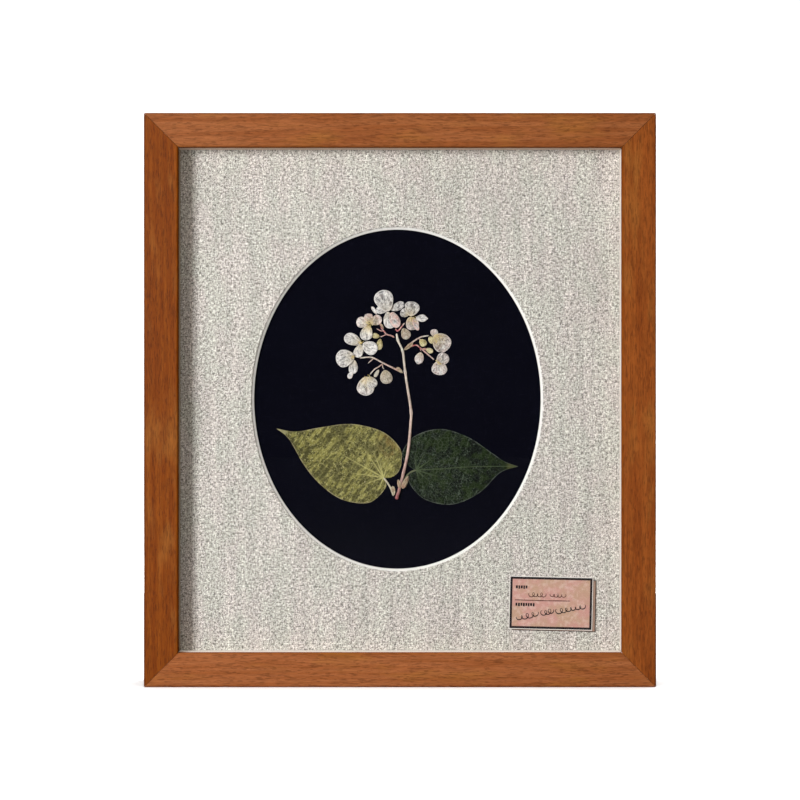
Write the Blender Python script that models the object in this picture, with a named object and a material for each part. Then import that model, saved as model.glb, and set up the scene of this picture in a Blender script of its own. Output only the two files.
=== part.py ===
"""A pressed flower frame: a square-edged wooden box frame that stands on its bottom rail.

Behind the glass a white spacer holds the glass off a linen-faced mat. The mat's oval opening
shows a black card, and on the card lies a small dried plant: one stem with two leaves at its
foot, and a head of thin branches with blossoms and buds. A paper label is fixed on the linen.

X is to the right, Z is up and the glass faces -Y. The origin is under the middle of the frame.
Lengths are in metres, and the points of the plant are in millimetres from the foot of its stem.
"""

import math

import bmesh
import bpy
import numpy as np
from mathutils import Vector
from mathutils.bvhtree import BVHTree

MM = 0.001
GAP = 0.0003

# The wooden moulding
FRAME_WIDTH = 0.256
FRAME_HEIGHT = 0.287
FRAME_DEPTH = 0.030
RAIL_FACE = 0.017
RABBET = 0.005
LIP_DEPTH = 0.0045
RAIL_EDGE_RADIUS = 0.0006
RAIL_EDGE_STEPS = 3
MITRE_GAP = 0.0002

# What lies in the rabbet, front to back
GLASS_THICKNESS = 0.002
SPACER_DEPTH = 0.006
LINEN_THICKNESS = 0.0004
MAT_THICKNESS = 0.002
CARD_THICKNESS = 0.0012
PANEL_THICKNESS = 0.003

# The oval opening, measured where the mat meets the card
OVAL_CENTRE = (-0.0015, 0.144)
OVAL_HALF_AXES = (0.0726, 0.0859)
OVAL_STEPS = 72
LINEN_SETBACK = 0.0002

# The label and the paper that it is pasted on
LABEL_CENTRE = (0.0769, 0.0406)
LABEL_SIZE = (0.042, 0.026)
LABEL_TURN = math.radians(-1.3)
LABEL_THICKNESS = 0.0003
BACKING_OFFSET = (0.0011, -0.0009)
PASTE_GAP = 0.00015

# The fittings in the recess at the back
TAB_SIZE = (0.008, 0.015)
TAB_THICKNESS = 0.0005
TAB_IN_WOOD = 0.003
TAB_END_STEPS = 6
HANGER_WIDTH = 0.044
HANGER_HEIGHT = 0.007
HANGER_THICKNESS = 0.0008
HANGER_STANDOFF = 0.0022
HANGER_FOOT = 0.008
HANGER_TEETH = 7
TOOTH_DEPTH = 0.0016
HANGER_BELOW_TOP = 0.034

# The plant
STEM_FOOT = (-0.0019, 0.0931)
STEM_SIDES = 8
STEM_FLATNESS = 0.65
STEM_POINT_SPACING = 0.002
LEAF_THICKNESS = 0.00035
LEAF_RINGS = (0.3, 0.65, 1.0)
VEIN_HEIGHT = 0.0003
PETAL_THICKNESS = 0.00035
PETAL_STEPS = 18
BUD_THICKNESS = 0.0011
PRESS_GAP = 0.00015
PRESS_CELL = 0.0005

FRAME_FRONT = -FRAME_DEPTH / 2
FRAME_BACK = FRAME_DEPTH / 2
GLASS_FRONT = FRAME_FRONT + LIP_DEPTH + GAP
GLASS_BACK = GLASS_FRONT + GLASS_THICKNESS
SPACER_FRONT = GLASS_BACK + GAP
SPACER_BACK = SPACER_FRONT + SPACER_DEPTH
LINEN_FRONT = SPACER_BACK + GAP
LINEN_BACK = LINEN_FRONT + LINEN_THICKNESS
MAT_FRONT = LINEN_BACK + GAP
MAT_BACK = MAT_FRONT + MAT_THICKNESS
CARD_FRONT = MAT_BACK + GAP
CARD_BACK = CARD_FRONT + CARD_THICKNESS
PANEL_FRONT = CARD_BACK + GAP
PANEL_BACK = PANEL_FRONT + PANEL_THICKNESS

# The rabbet's walls, and the sheets that fit between them
RABBET_SIDE = FRAME_WIDTH / 2 - RAIL_FACE + RABBET
RABBET_BOTTOM = RAIL_FACE - RABBET
RABBET_TOP = FRAME_HEIGHT - RABBET_BOTTOM
SHEET_LOW = (-RABBET_SIDE + GAP, RABBET_BOTTOM + GAP)
SHEET_HIGH = (RABBET_SIDE - GAP, RABBET_TOP - GAP)
SPACER_WIDTH = RABBET - GAP


def clear_scene():
    for thing in list(bpy.data.objects):
        bpy.data.objects.remove(thing, do_unlink=True)


def make_material(name, colour, roughness, metallic=0.0, transmission=0.0):
    material = bpy.data.materials.new(name)
    material.use_nodes = True
    shader = material.node_tree.nodes["Principled BSDF"]
    shader.inputs["Base Color"].default_value = (*colour, 1.0)
    shader.inputs["Roughness"].default_value = roughness
    shader.inputs["Metallic"].default_value = metallic
    shader.inputs["Transmission Weight"].default_value = transmission
    material.diffuse_color = (*colour, 1.0)
    return material


def add_mesh(name, points, faces, material, smooth=False):
    """An object from its points and faces, turned outwards, with its place in the mesh."""
    mesh = bpy.data.meshes.new(name)
    mesh.from_pydata([tuple(point) for point in points], [], [tuple(face) for face in faces])
    form = bmesh.new()
    form.from_mesh(mesh)
    bmesh.ops.recalc_face_normals(form, faces=form.faces)
    form.to_mesh(mesh)
    form.free()
    mesh.materials.append(material)
    if smooth:
        mesh.shade_smooth()
        mesh.set_sharp_from_angle(angle=math.radians(40))
    mesh.update()
    thing = bpy.data.objects.new(name, mesh)
    bpy.context.scene.collection.objects.link(thing)
    return thing


def add_prism(name, outline, back, front, material):
    """An outline in X and Z, anticlockwise as seen from the front, given a thickness along Y."""
    count = len(outline)
    points = [(x, front, z) for x, z in outline] + [(x, back, z) for x, z in outline]
    faces = [tuple(range(count)), tuple(range(2 * count - 1, count - 1, -1))]
    for i in range(count):
        after = (i + 1) % count
        faces.append((i, count + i, count + after, after))
    return add_mesh(name, points, faces, material)


def rectangle(low, high):
    return [(low[0], low[1]), (high[0], low[1]), (high[0], high[1]), (low[0], high[1])]


def change_shape(thing, helper, operation):
    """Cuts a helper's shape out of an object, or joins it on, and hides the helper."""
    helper.hide_render = True
    helper.display_type = "WIRE"
    boolean = thing.modifiers.new(helper.name, "BOOLEAN")
    boolean.operation = operation
    boolean.solver = "EXACT"
    boolean.object = helper


def arc(centre, radius, start, end, steps):
    """Points on an arc, from a start angle to an end angle in degrees."""
    angles = np.radians(np.linspace(start, end, steps + 1))
    return [(centre[0] + radius * math.cos(a), centre[1] + radius * math.sin(a)) for a in angles]


# The frame


def rail_profile():
    """The moulding's section: distance inwards from its outer face, and Y. Three edges are eased."""
    r = RAIL_EDGE_RADIUS
    steps = RAIL_EDGE_STEPS
    rabbet_wall = RAIL_FACE - RABBET
    profile = arc((r, FRAME_FRONT + r), r, 180, 270, steps)
    profile += arc((RAIL_FACE - r, FRAME_FRONT + r), r, 270, 360, steps)
    profile += [(RAIL_FACE, FRAME_FRONT + LIP_DEPTH), (rabbet_wall, FRAME_FRONT + LIP_DEPTH)]
    profile += [(rabbet_wall, FRAME_BACK)]
    profile += arc((r, FRAME_BACK - r), r, 90, 180, steps)
    return profile


def add_rail(name, side, material):
    """One side of the frame, mitred at both ends. The side is the outward direction in X and Z."""
    outward = np.array(side)
    along = np.array([-side[1], side[0]])
    half = np.array([FRAME_WIDTH / 2, FRAME_HEIGHT / 2])
    reach = abs(outward @ half)
    half_length = abs(along @ half)
    profile = rail_profile()
    points = []
    for end in (-1, 1):
        for inwards, y in profile:
            mitre = half_length - inwards - MITRE_GAP / math.sqrt(2)
            x, z = outward * (reach - inwards) + along * end * mitre
            points.append((x, y, z + FRAME_HEIGHT / 2))
    count = len(profile)
    faces = [tuple(range(count)), tuple(range(2 * count - 1, count - 1, -1))]
    for i in range(count):
        after = (i + 1) % count
        faces.append((i, count + i, count + after, after))
    rail = add_mesh(name, points, faces, material)
    change_shape(rail, add_tab_slot(name + "_slot", side, material), "DIFFERENCE")
    return rail


def add_tab_slot(name, side, material):
    """The slit in the rabbet's wall that a tab is pushed into."""
    low, high = tab_outline_box(side, TAB_IN_WOOD + GAP, TAB_SIZE[0] / 2 + GAP, GAP)
    back = PANEL_BACK + GAP + TAB_THICKNESS + GAP
    return add_prism(name, rectangle(low, high), back, PANEL_BACK, material)


def tab_outline_box(side, into_wood, half_width, past_wall):
    """The lowest and highest X and Z of a strip that crosses the rabbet's wall at mid rail."""
    outward = np.array(side, float)
    across = np.array([abs(side[1]), abs(side[0])], float)
    wall = abs(outward @ np.array([RABBET_SIDE, (RABBET_TOP - RABBET_BOTTOM) / 2]))
    middle = np.array([0.0, FRAME_HEIGHT / 2])
    inner = middle + outward * (wall - past_wall)
    outer = middle + outward * (wall + into_wood)
    low = np.minimum(inner, outer) - across * half_width
    high = np.maximum(inner, outer) + across * half_width
    return tuple(low), tuple(high)


def add_tab(name, side, material):
    """A flat steel tab, pushed into a rail, whose round end lies over the back panel."""
    outward = np.array(side)
    across = np.array([-side[1], side[0]])
    wall = abs(outward @ np.array([RABBET_SIDE, (RABBET_TOP - RABBET_BOTTOM) / 2]))
    half_width = TAB_SIZE[0] / 2
    straight = TAB_SIZE[1] - TAB_IN_WOOD - half_width
    flat = [(TAB_IN_WOOD, -half_width), (TAB_IN_WOOD, half_width)]
    flat += arc((-straight, 0), half_width, 90, 270, TAB_END_STEPS)
    middle = np.array([0.0, FRAME_HEIGHT / 2])
    outline = [middle + outward * (wall + u) + across * v for u, v in flat]
    front = PANEL_BACK + GAP
    return add_prism(name, outline, front + TAB_THICKNESS, front, material)


def add_hanger(name, material):
    """A sawtooth hanger: a bent strip whose two feet lie on the panel and whose middle stands off."""
    top = RABBET_TOP - HANGER_BELOW_TOP
    half = HANGER_WIDTH / 2
    bend = HANGER_STANDOFF
    teeth_start = -half + HANGER_FOOT + bend
    pitch = -2 * teeth_start / (2 * HANGER_TEETH)
    stations = [(-half, 0.0, 0.0), (-half + HANGER_FOOT, 0.0, 0.0)]
    for i in range(2 * HANGER_TEETH + 1):
        stations.append((teeth_start + i * pitch, HANGER_STANDOFF, TOOTH_DEPTH * (i % 2)))
    stations += [(half - HANGER_FOOT, 0.0, 0.0), (half, 0.0, 0.0)]
    points = []
    for x, lift, notch in stations:
        front = PANEL_BACK + GAP + lift
        bottom = top - HANGER_HEIGHT + notch
        points += [(x, front, bottom), (x, front, top)]
        points += [(x, front + HANGER_THICKNESS, top), (x, front + HANGER_THICKNESS, bottom)]
    faces = [(0, 1, 2, 3)]
    for start in range(0, len(points) - 4, 4):
        for i in range(4):
            after = (i + 1) % 4
            faces.append((start + i, start + 4 + i, start + 4 + after, start + after))
    last = len(points)
    faces.append((last - 1, last - 2, last - 3, last - 4))
    return add_mesh(name, points, faces, material)


def add_board_with_oval(name, front, back, front_axes, back_axes, material):
    """A sheet with an oval hole. Each ray from the oval's middle meets the hole and the edge once."""
    centre = np.array(OVAL_CENTRE)
    low = np.array(SHEET_LOW) - centre
    high = np.array(SHEET_HIGH) - centre
    corners = [math.atan2(z, x) for x, z in rectangle(low, high)]
    even = np.linspace(-math.pi, math.pi, OVAL_STEPS, endpoint=False)
    angles = np.sort(np.concatenate([even, corners]))
    rays = np.stack([np.cos(angles), np.sin(angles)], axis=1)
    to_edge = (np.where(rays > 0, high, -low) / np.maximum(np.abs(rays), 1e-9)).min(axis=1)
    edge = centre + rays * to_edge[:, None]
    loops = []
    for y, axes in ((front, front_axes), (back, back_axes)):
        to_oval = 1 / np.hypot(rays[:, 0] / axes[0], rays[:, 1] / axes[1])
        loops.append([(x, y, z) for x, z in centre + rays * to_oval[:, None]])
        loops.append([(x, y, z) for x, z in edge])
    count = len(angles)
    points = loops[0] + loops[1] + loops[3] + loops[2]
    faces = []
    for ring in range(4):
        this, other = ring * count, (ring + 1) % 4 * count
        for i in range(count):
            after = (i + 1) % count
            faces.append((this + i, other + i, other + after, this + after))
    return add_mesh(name, points, faces, material)


def build_frame(paint):
    sides = {"left": (-1, 0), "right": (1, 0), "top": (0, 1), "bottom": (0, -1)}
    for place, side in sides.items():
        add_rail("rail_" + place, side, paint["wood"])
        add_tab("tab_" + place, side, paint["steel"])
    sheet = rectangle(SHEET_LOW, SHEET_HIGH)
    add_prism("glass", sheet, GLASS_BACK, GLASS_FRONT, paint["glass"])
    add_prism("black_card", sheet, CARD_BACK, CARD_FRONT, paint["card"])
    add_prism("back_panel", sheet, PANEL_BACK, PANEL_FRONT, paint["board"])
    add_spacers(paint["core"])
    bevelled = [axis + MAT_THICKNESS for axis in OVAL_HALF_AXES]
    linen_axes = [axis + LINEN_SETBACK for axis in bevelled]
    add_board_with_oval("mat_board", MAT_FRONT, MAT_BACK, bevelled, OVAL_HALF_AXES, paint["core"])
    add_board_with_oval(
        "linen_facing", LINEN_FRONT, LINEN_BACK, linen_axes, linen_axes, paint["linen"]
    )
    add_hanger("sawtooth_hanger", paint["steel"])


def add_spacers(material):
    """Four white strips that line the rabbet, the upright ones between the level ones."""
    low, high, width = SHEET_LOW, SHEET_HIGH, SPACER_WIDTH
    upright_low, upright_high = low[1] + width + GAP, high[1] - width - GAP
    strips = {
        "spacer_bottom": (low, (high[0], low[1] + width)),
        "spacer_top": ((low[0], high[1] - width), high),
        "spacer_left": ((low[0], upright_low), (low[0] + width, upright_high)),
        "spacer_right": ((high[0] - width, upright_low), (high[0], upright_high)),
    }
    for name, (corner, opposite) in strips.items():
        add_prism(name, rectangle(corner, opposite), SPACER_BACK, SPACER_FRONT, material)


def add_label_sheet(name, centre, back, material):
    turn = np.array(
        [
            [math.cos(LABEL_TURN), math.sin(LABEL_TURN)],
            [-math.sin(LABEL_TURN), math.cos(LABEL_TURN)],
        ]
    )
    half = np.array(LABEL_SIZE) / 2
    outline = [np.array(centre) + np.array(corner) @ turn for corner in rectangle(-half, half)]
    return add_prism(name, outline, back, back - LABEL_THICKNESS, material)


def build_label(paint):
    backing_centre = np.array(LABEL_CENTRE) + np.array(BACKING_OFFSET)
    back = LINEN_FRONT - PASTE_GAP
    add_label_sheet("label_backing", backing_centre, back, paint["paper"])
    back -= LABEL_THICKNESS + PASTE_GAP
    add_label_sheet("label_card", LABEL_CENTRE, back, paint["label"])


# The pressing: every piece of the plant is laid on the pieces that were laid before it


class Pressing:
    """The heights above the card of all that lies on it, on a square grid over the opening."""

    def __init__(self):
        self.low = np.array(OVAL_CENTRE) - np.array(OVAL_HALF_AXES)
        cells = np.ceil(2 * np.array(OVAL_HALF_AXES) / PRESS_CELL).astype(int)
        self.heights = np.zeros(cells)

    def cells_of(self, x, z):
        column = np.round((x - self.low[0]) / PRESS_CELL).astype(int)
        row = np.round((z - self.low[1]) / PRESS_CELL).astype(int)
        return column, row

    def rest_on(self, x, z, reach):
        """How high a sheet lies at each point: over the highest thing within the reach."""
        steps = math.ceil(reach / PRESS_CELL) + 1
        highest = np.zeros(len(x))
        column, row = self.cells_of(x, z)
        for i in range(-steps, steps + 1):
            for j in range(-steps, steps + 1):
                if i * i + j * j <= steps * steps:
                    highest = np.maximum(highest, self.heights[column + i, row + j])
        return highest + PRESS_GAP

    def lay(self, thing):
        """Adds an object to the heights, by rays from in front of it."""
        tree = BVHTree.FromObject(thing, bpy.context.evaluated_depsgraph_get())
        points = np.array([vertex.co for vertex in thing.data.vertices])
        low = self.cells_of(points[:, 0].min(), points[:, 2].min())
        high = self.cells_of(points[:, 0].max(), points[:, 2].max())
        for column in range(low[0] - 1, high[0] + 2):
            for row in range(low[1] - 1, high[1] + 2):
                x = self.low[0] + column * PRESS_CELL
                z = self.low[1] + row * PRESS_CELL
                hit = tree.ray_cast(Vector((x, GLASS_BACK, z)), Vector((0, 1, 0)))[0]
                if hit is not None:
                    height = CARD_FRONT - hit.y
                    self.heights[column, row] = max(self.heights[column, row], height)


def from_foot(points):
    """Places given in millimetres from the stem's foot, in metres in the frame."""
    return np.array(points, float) * MM + np.array(STEM_FOOT)


def smooth_line(points, spacing):
    """An open Catmull-Rom curve through the points, read about evenly."""
    points = np.asarray(points, float)
    before = 2 * points[0] - points[1]
    after = 2 * points[-1] - points[-2]
    control = np.vstack([before, points, after])
    line = []
    for i in range(len(points) - 1):
        a, b, c, d = control[i : i + 4]
        steps = max(1, round(np.linalg.norm(c - b) / spacing))
        t = np.arange(steps)[:, None] / steps
        line.append(
            b + (c - a) * t / 2 + (2 * a - 5 * b + 4 * c - d) * t**2 / 2
            + (3 * b - a - 3 * c + d) * t**3 / 2
        )
    return np.vstack(line + [points[-1:]])


def add_stem(name, route, widths, material, heights=None):
    """A flattened round stem along a route in millimetres, with a width at each end."""
    line = smooth_line(from_foot(route), STEM_POINT_SPACING)
    count = len(line)
    share = np.linspace(0, 1, count)
    half_width = (widths[0] + (widths[1] - widths[0]) * share) * MM / 2
    ahead = np.gradient(line, axis=0)
    ahead /= np.linalg.norm(ahead, axis=1)[:, None]
    side = np.stack([-ahead[:, 1], ahead[:, 0]], axis=1)
    if heights is None:
        heights = np.full(count, PRESS_GAP)
    angles = np.linspace(0, 2 * math.pi, STEM_SIDES, endpoint=False)
    points = []
    for i in range(count):
        middle = heights[i] + half_width[i] * STEM_FLATNESS
        for angle in angles:
            x, z = line[i] + side[i] * half_width[i] * math.cos(angle)
            y = CARD_FRONT - middle - half_width[i] * STEM_FLATNESS * math.sin(angle)
            points.append((x, y, z))
    faces = [tuple(range(STEM_SIDES))]
    for ring in range(count - 1):
        start = ring * STEM_SIDES
        for i in range(STEM_SIDES):
            after = (i + 1) % STEM_SIDES
            faces.append(
                (start + i, start + STEM_SIDES + i, start + STEM_SIDES + after, start + after)
            )
    last = (count - 1) * STEM_SIDES
    faces.append(tuple(range(last + STEM_SIDES - 1, last - 1, -1)))
    return add_mesh(name, points, faces, material, smooth=True)


def add_branch(name, route, widths, twigs, material):
    """A branch with its finer twigs grown onto it."""
    branch = add_stem(name, route, widths, material)
    for number, (twig_route, twig_widths) in enumerate(twigs):
        twig = add_stem(f"{name}_twig_{number}", twig_route, twig_widths, material)
        change_shape(branch, twig, "UNION")
    return branch


def rest_of_stem(pressing, route, widths):
    """The height of each point of a stem that crosses other pieces."""
    line = smooth_line(from_foot(route), STEM_POINT_SPACING)
    return pressing.rest_on(line[:, 0], line[:, 1], STEM_POINT_SPACING + max(widths) * MM / 2)


def petal_outline(base, tip, width, fullness):
    """An egg: along its axis it is a cosine, across it a sine that grows towards the tip."""
    base, tip = from_foot(base), from_foot(tip)
    axis = tip - base
    side = np.array([-axis[1], axis[0]]) / np.linalg.norm(axis)
    angles = np.linspace(0, 2 * math.pi, PETAL_STEPS, endpoint=False)[:, None]
    along = (1 - np.cos(angles)) / 2
    across = np.sin(angles) * (1 - fullness * np.cos(angles))
    across /= np.abs(across).max()
    return base + axis * along + side * across * width * MM / 2, (base + tip) / 2


def add_petal(pressing, name, base, tip, width, material, fullness=0.25, thickness=PETAL_THICKNESS):
    """A thin scale that lies on what is under it: two skins over the same rings of points."""
    outline, middle = petal_outline(base, tip, width, fullness)
    inner = middle + (outline - middle) / 2
    flat = np.vstack([middle, inner, outline])
    share = np.concatenate([[0.0], np.full(len(inner), 0.5), np.ones(len(outline))])
    reach = np.linalg.norm(outline - middle, axis=1).max() / 2
    under = pressing.rest_on(flat[:, 0], flat[:, 1], reach)
    over = under + thickness * (1 - 0.55 * share**2)
    points = []
    for heights in (over, under):
        points += [(x, CARD_FRONT - h, z) for (x, z), h in zip(flat, heights)]
    count, skin = PETAL_STEPS, len(flat)
    faces = []
    for i in range(count):
        after = (i + 1) % count
        ring, next_ring = 1 + i, 1 + after
        rim, next_rim = 1 + count + i, 1 + count + after
        faces.append((0, ring, next_ring))
        faces.append((ring, rim, next_rim, next_ring))
        faces.append((rim, skin + rim, skin + next_rim, next_rim))
        faces.append((skin + ring, skin + next_ring, skin + next_rim, skin + rim))
        faces.append((skin, skin + next_ring, skin + ring))
    petal = add_mesh(name, points, faces, material, smooth=True)
    pressing.lay(petal)
    return petal


def add_leaf(pressing, name, base, upper_edge, lower_edge, veins, petiole, material):
    """A heart-shaped leaf: rays from the place where its veins meet run to points on its edge.

    The edge runs from the notch over the far side to the tip and back. The surface is highest on
    the veins, each of which ends on the edge, and is flat at the edge.
    """
    spacing = 4 * MM
    upper = smooth_line(from_foot(upper_edge), spacing)
    lower = smooth_line(from_foot(lower_edge), spacing)
    edge = np.vstack([upper, lower[1:-1]])
    centre = from_foot(base)
    vein_ends = from_foot(veins)
    nearest = [np.linalg.norm(edge - end, axis=1).argmin() for end in vein_ends]
    on_vein = np.zeros(len(edge))
    on_vein[nearest] = 1.0
    rings = [centre[None, :]] + [centre + (edge - centre) * r for r in LEAF_RINGS]
    ridge = [[VEIN_HEIGHT]] + [on_vein * VEIN_HEIGHT * (1 - r) for r in LEAF_RINGS]
    top = np.vstack(rings)
    over = PRESS_GAP + LEAF_THICKNESS + np.concatenate(ridge)
    count = len(edge)
    points = [(x, CARD_FRONT - h, z) for (x, z), h in zip(top, over)]
    points += [(x, CARD_FRONT - PRESS_GAP, z) for x, z in edge]
    points.append((centre[0], CARD_FRONT - PRESS_GAP, centre[1]))
    rim = 1 + (len(LEAF_RINGS) - 1) * count
    under = rim + count
    middle = under + count
    faces = []
    for i in range(count):
        after = (i + 1) % count
        faces.append((0, 1 + i, 1 + after))
        for ring in range(len(LEAF_RINGS) - 1):
            start = 1 + ring * count
            faces.append((start + i, start + count + i, start + count + after, start + after))
        faces.append((rim + i, under + i, under + after, rim + after))
        faces.append((middle, under + after, under + i))
    leaf = add_mesh(name, points, faces, material, smooth=True)
    change_shape(leaf, add_stem(name + "_petiole", petiole, (1.1, 0.9), material), "UNION")
    pressing.lay(leaf)
    return leaf


STEM_ROUTE = [
    (0.0, 0.0), (1.7, 5.9), (3.8, 14.3), (6.0, 24.8), (7.3, 38.7), (7.4, 45.4), (5.1, 60.5),
    (4.1, 68.3), (3.2, 75.3), (0.9, 80.5), (0.1, 84.2),
]
STEM_WIDTHS = (1.6, 1.0)

LEFT_LEAF = {
    "base": (-6.5, 11.1),
    "upper_edge": [
        (-5.9, 10.8), (-2.8, 11.1), (0.7, 13.5), (2.6, 18.5), (1.7, 26.2), (-7.2, 34.4),
        (-22.5, 38.2), (-37.8, 36.6), (-50.9, 34.4), (-60.7, 35.9),
    ],
    "lower_edge": [
        (-60.7, 35.9), (-54.4, 30.5), (-46.5, 17.0), (-37.8, 6.9), (-26.9, -0.3), (-13.7, -1.6),
        (-5.6, 5.6), (-5.9, 10.8),
    ],
    "veins": [(1.7, 26.2), (-7.2, 34.4), (-22.5, 38.2), (-54.0, 33.5), (-37.8, 6.9), (-13.7, -1.6)],
    "petiole": [(-6.5, 11.1), (-4.6, 8.6), (-2.8, 5.6), (-1.4, 1.7)],
}

RIGHT_LEAF = {
    "base": (10.2, 14.9),
    "upper_edge": [
        (9.6, 14.8), (6.6, 16.9), (3.9, 19.9), (3.2, 24.3), (9.3, 32.1), (22.4, 35.7),
        (36.4, 31.6), (48.6, 23.5), (55.0, 19.2), (61.8, 16.7),
    ],
    "lower_edge": [
        (61.8, 16.7), (52.7, 13.5), (41.9, 3.1), (28.3, -2.6), (14.7, -0.1), (7.0, 7.6),
        (6.9, 12.1), (9.6, 14.8),
    ],
    "veins": [(9.3, 32.1), (22.4, 35.7), (48.6, 23.5), (61.8, 16.7), (41.9, 3.1), (14.7, -0.1)],
    "petiole": [(10.2, 14.9), (7.5, 13.9), (5.3, 11.8), (3.6, 8.5)],
}

# Each branch: its route, its widths, and the routes and widths of the twigs on it. The last twig
# of the right lower branch swells into a small bud.
BRANCHES = {
    "branch_upper_left": (
        [(-0.9, 82.1), (-2.5, 83.0), (-4.9, 83.7), (-6.1, 85.1), (-8.0, 87.4)],
        (0.9, 0.7),
        [
            ([(-6.5, 85.4), (-7.8, 85.5), (-10.0, 86.6)], (0.6, 0.5)),
            ([(-5.2, 83.6), (-6.7, 82.9), (-8.2, 82.4)], (0.6, 0.5)),
        ],
    ),
    "branch_top_right": (
        [(0.6, 85.2), (1.6, 86.1), (2.9, 87.8), (4.3, 89.5)],
        (0.9, 0.7),
        [([(-0.4, 86.6), (0.4, 85.4), (1.2, 85.8)], (0.8, 0.7))],
    ),
    "branch_lower_left": (
        [(2.6, 64.6), (0.9, 65.4), (-6.4, 69.0), (-11.3, 71.6), (-14.1, 72.1), (-18.5, 71.7)],
        (1.1, 0.7),
        [
            ([(-6.7, 68.8), (-9.0, 67.2), (-11.1, 65.9), (-13.4, 63.3)], (0.8, 0.6)),
            ([(-11.3, 71.6), (-12.9, 70.3), (-14.3, 69.0)], (0.6, 0.5)),
            ([(-6.9, 68.6), (-6.8, 66.9), (-6.1, 66.0)], (0.6, 0.5)),
        ],
    ),
    "branch_right": (
        [(4.2, 76.2), (7.2, 78.9), (9.0, 80.3), (12.4, 82.3), (16.6, 83.1)],
        (1.0, 0.7),
        [([(11.2, 81.7), (12.0, 81.2), (12.6, 80.4)], (0.6, 0.5))],
    ),
    "branch_right_lower": (
        [(7.3, 77.4), (8.8, 78.0), (10.2, 78.2), (11.5, 77.4), (16.9, 72.8), (19.2, 70.8)],
        (0.8, 0.7),
        [
            ([(11.7, 77.3), (12.2, 76.4), (12.5, 75.2)], (0.6, 0.5)),
            ([(13.1, 76.4), (14.7, 76.2), (16.4, 75.6), (18.0, 74.9)], (0.6, 2.4)),
        ],
    ),
}

# Each scale, bud or petal: where it grows from, its tip and its width
BRACTS = {
    "bract_left": ((2.0, 5.6), (0.9, 10.2), 2.0),
    "bract_right": ((3.0, 5.4), (6.2, 12.1), 2.6),
}
BUDS = {
    "bud_top": ((3.3, 86.7), (6.1, 81.4), 5.0),
    "bud_right_upper": ((12.0, 81.1), (14.9, 77.9), 3.8),
    "bud_drooping": ((12.5, 74.7), (11.0, 68.7), 4.8),
    "bud_yellow_left": ((-8.4, 82.5), (-12.3, 83.3), 2.9),
    "bud_yellow_right": ((-8.0, 81.4), (-9.0, 75.7), 3.5),
    "bud_lower": ((-5.8, 65.7), (-4.5, 58.6), 6.6),
}
PETALS = {
    "petal_a_left": ((-4.7, 95.7), (-10.4, 96.2), 4.1),
    "petal_a_right": ((-2.9, 96.0), (4.1, 99.5), 4.3),
    "petal_a_lower": ((-4.5, 95.3), (-2.7, 86.4), 6.1),
    "petal_a_lower_right": ((-2.6, 95.2), (0.9, 87.0), 5.3),
    "petal_a_top": ((-3.9, 95.2), (-8.0, 106.1), 10.1),
    "petal_b_lower": ((-13.9, 88.4), (-16.1, 80.6), 6.6),
    "petal_b_left": ((-13.8, 89.0), (-20.3, 90.5), 5.8),
    "petal_b_top": ((-13.6, 89.7), (-14.4, 94.3), 4.8),
    "petal_b_right": ((-13.1, 89.1), (-7.5, 92.3), 5.3),
    "petal_c_lower": ((-18.0, 78.7), (-20.1, 71.8), 5.1),
    "petal_c_left": ((-17.8, 79.0), (-26.3, 83.0), 6.3),
    "petal_c_right": ((-17.1, 79.2), (-9.8, 74.7), 7.1),
    "petal_d_lower": ((-21.1, 70.8), (-22.4, 63.5), 4.7),
    "petal_d_left": ((-20.9, 72.3), (-30.8, 71.0), 9.3),
    "petal_e_lower": ((-14.3, 62.4), (-16.5, 52.7), 9.4),
    "petal_e_right": ((-14.4, 62.1), (-10.8, 56.8), 5.6),
    "petal_g_left": ((6.5, 93.4), (2.2, 95.6), 4.6),
    "petal_g_lower": ((6.8, 92.6), (9.2, 86.0), 7.1),
    "petal_g_right": ((9.8, 92.1), (15.7, 91.7), 4.1),
    "petal_g_top": ((7.0, 92.9), (8.8, 100.4), 7.9),
    "petal_h_left": ((19.2, 82.3), (19.3, 86.4), 4.0),
    "petal_h_lower": ((19.1, 83.4), (26.4, 76.0), 10.1),
    "petal_i_lower": ((22.3, 70.4), (21.5, 63.0), 8.4),
    "petal_i_top": ((20.9, 68.3), (25.7, 73.6), 6.6),
}


def build_plant(paint):
    pressing = Pressing()
    add_leaf(pressing, "leaf_left", material=paint["leaf_olive"], **LEFT_LEAF)
    add_leaf(pressing, "leaf_right", material=paint["leaf_dark"], **RIGHT_LEAF)
    heights = rest_of_stem(pressing, STEM_ROUTE, STEM_WIDTHS)
    pressing.lay(add_stem("stem", STEM_ROUTE, STEM_WIDTHS, paint["stem"], heights))
    for name, (route, widths, twigs) in BRANCHES.items():
        pressing.lay(add_branch(name, route, widths, twigs, paint["stem"]))
    for name, (base, tip, width) in BRACTS.items():
        add_petal(pressing, name, base, tip, width, paint["bract"], fullness=-0.2)
    for name, (base, tip, width) in BUDS.items():
        add_petal(pressing, name, base, tip, width, paint["bud"], thickness=BUD_THICKNESS)
    for name, (base, tip, width) in PETALS.items():
        add_petal(pressing, name, base, tip, width, paint["petal"])


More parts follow.
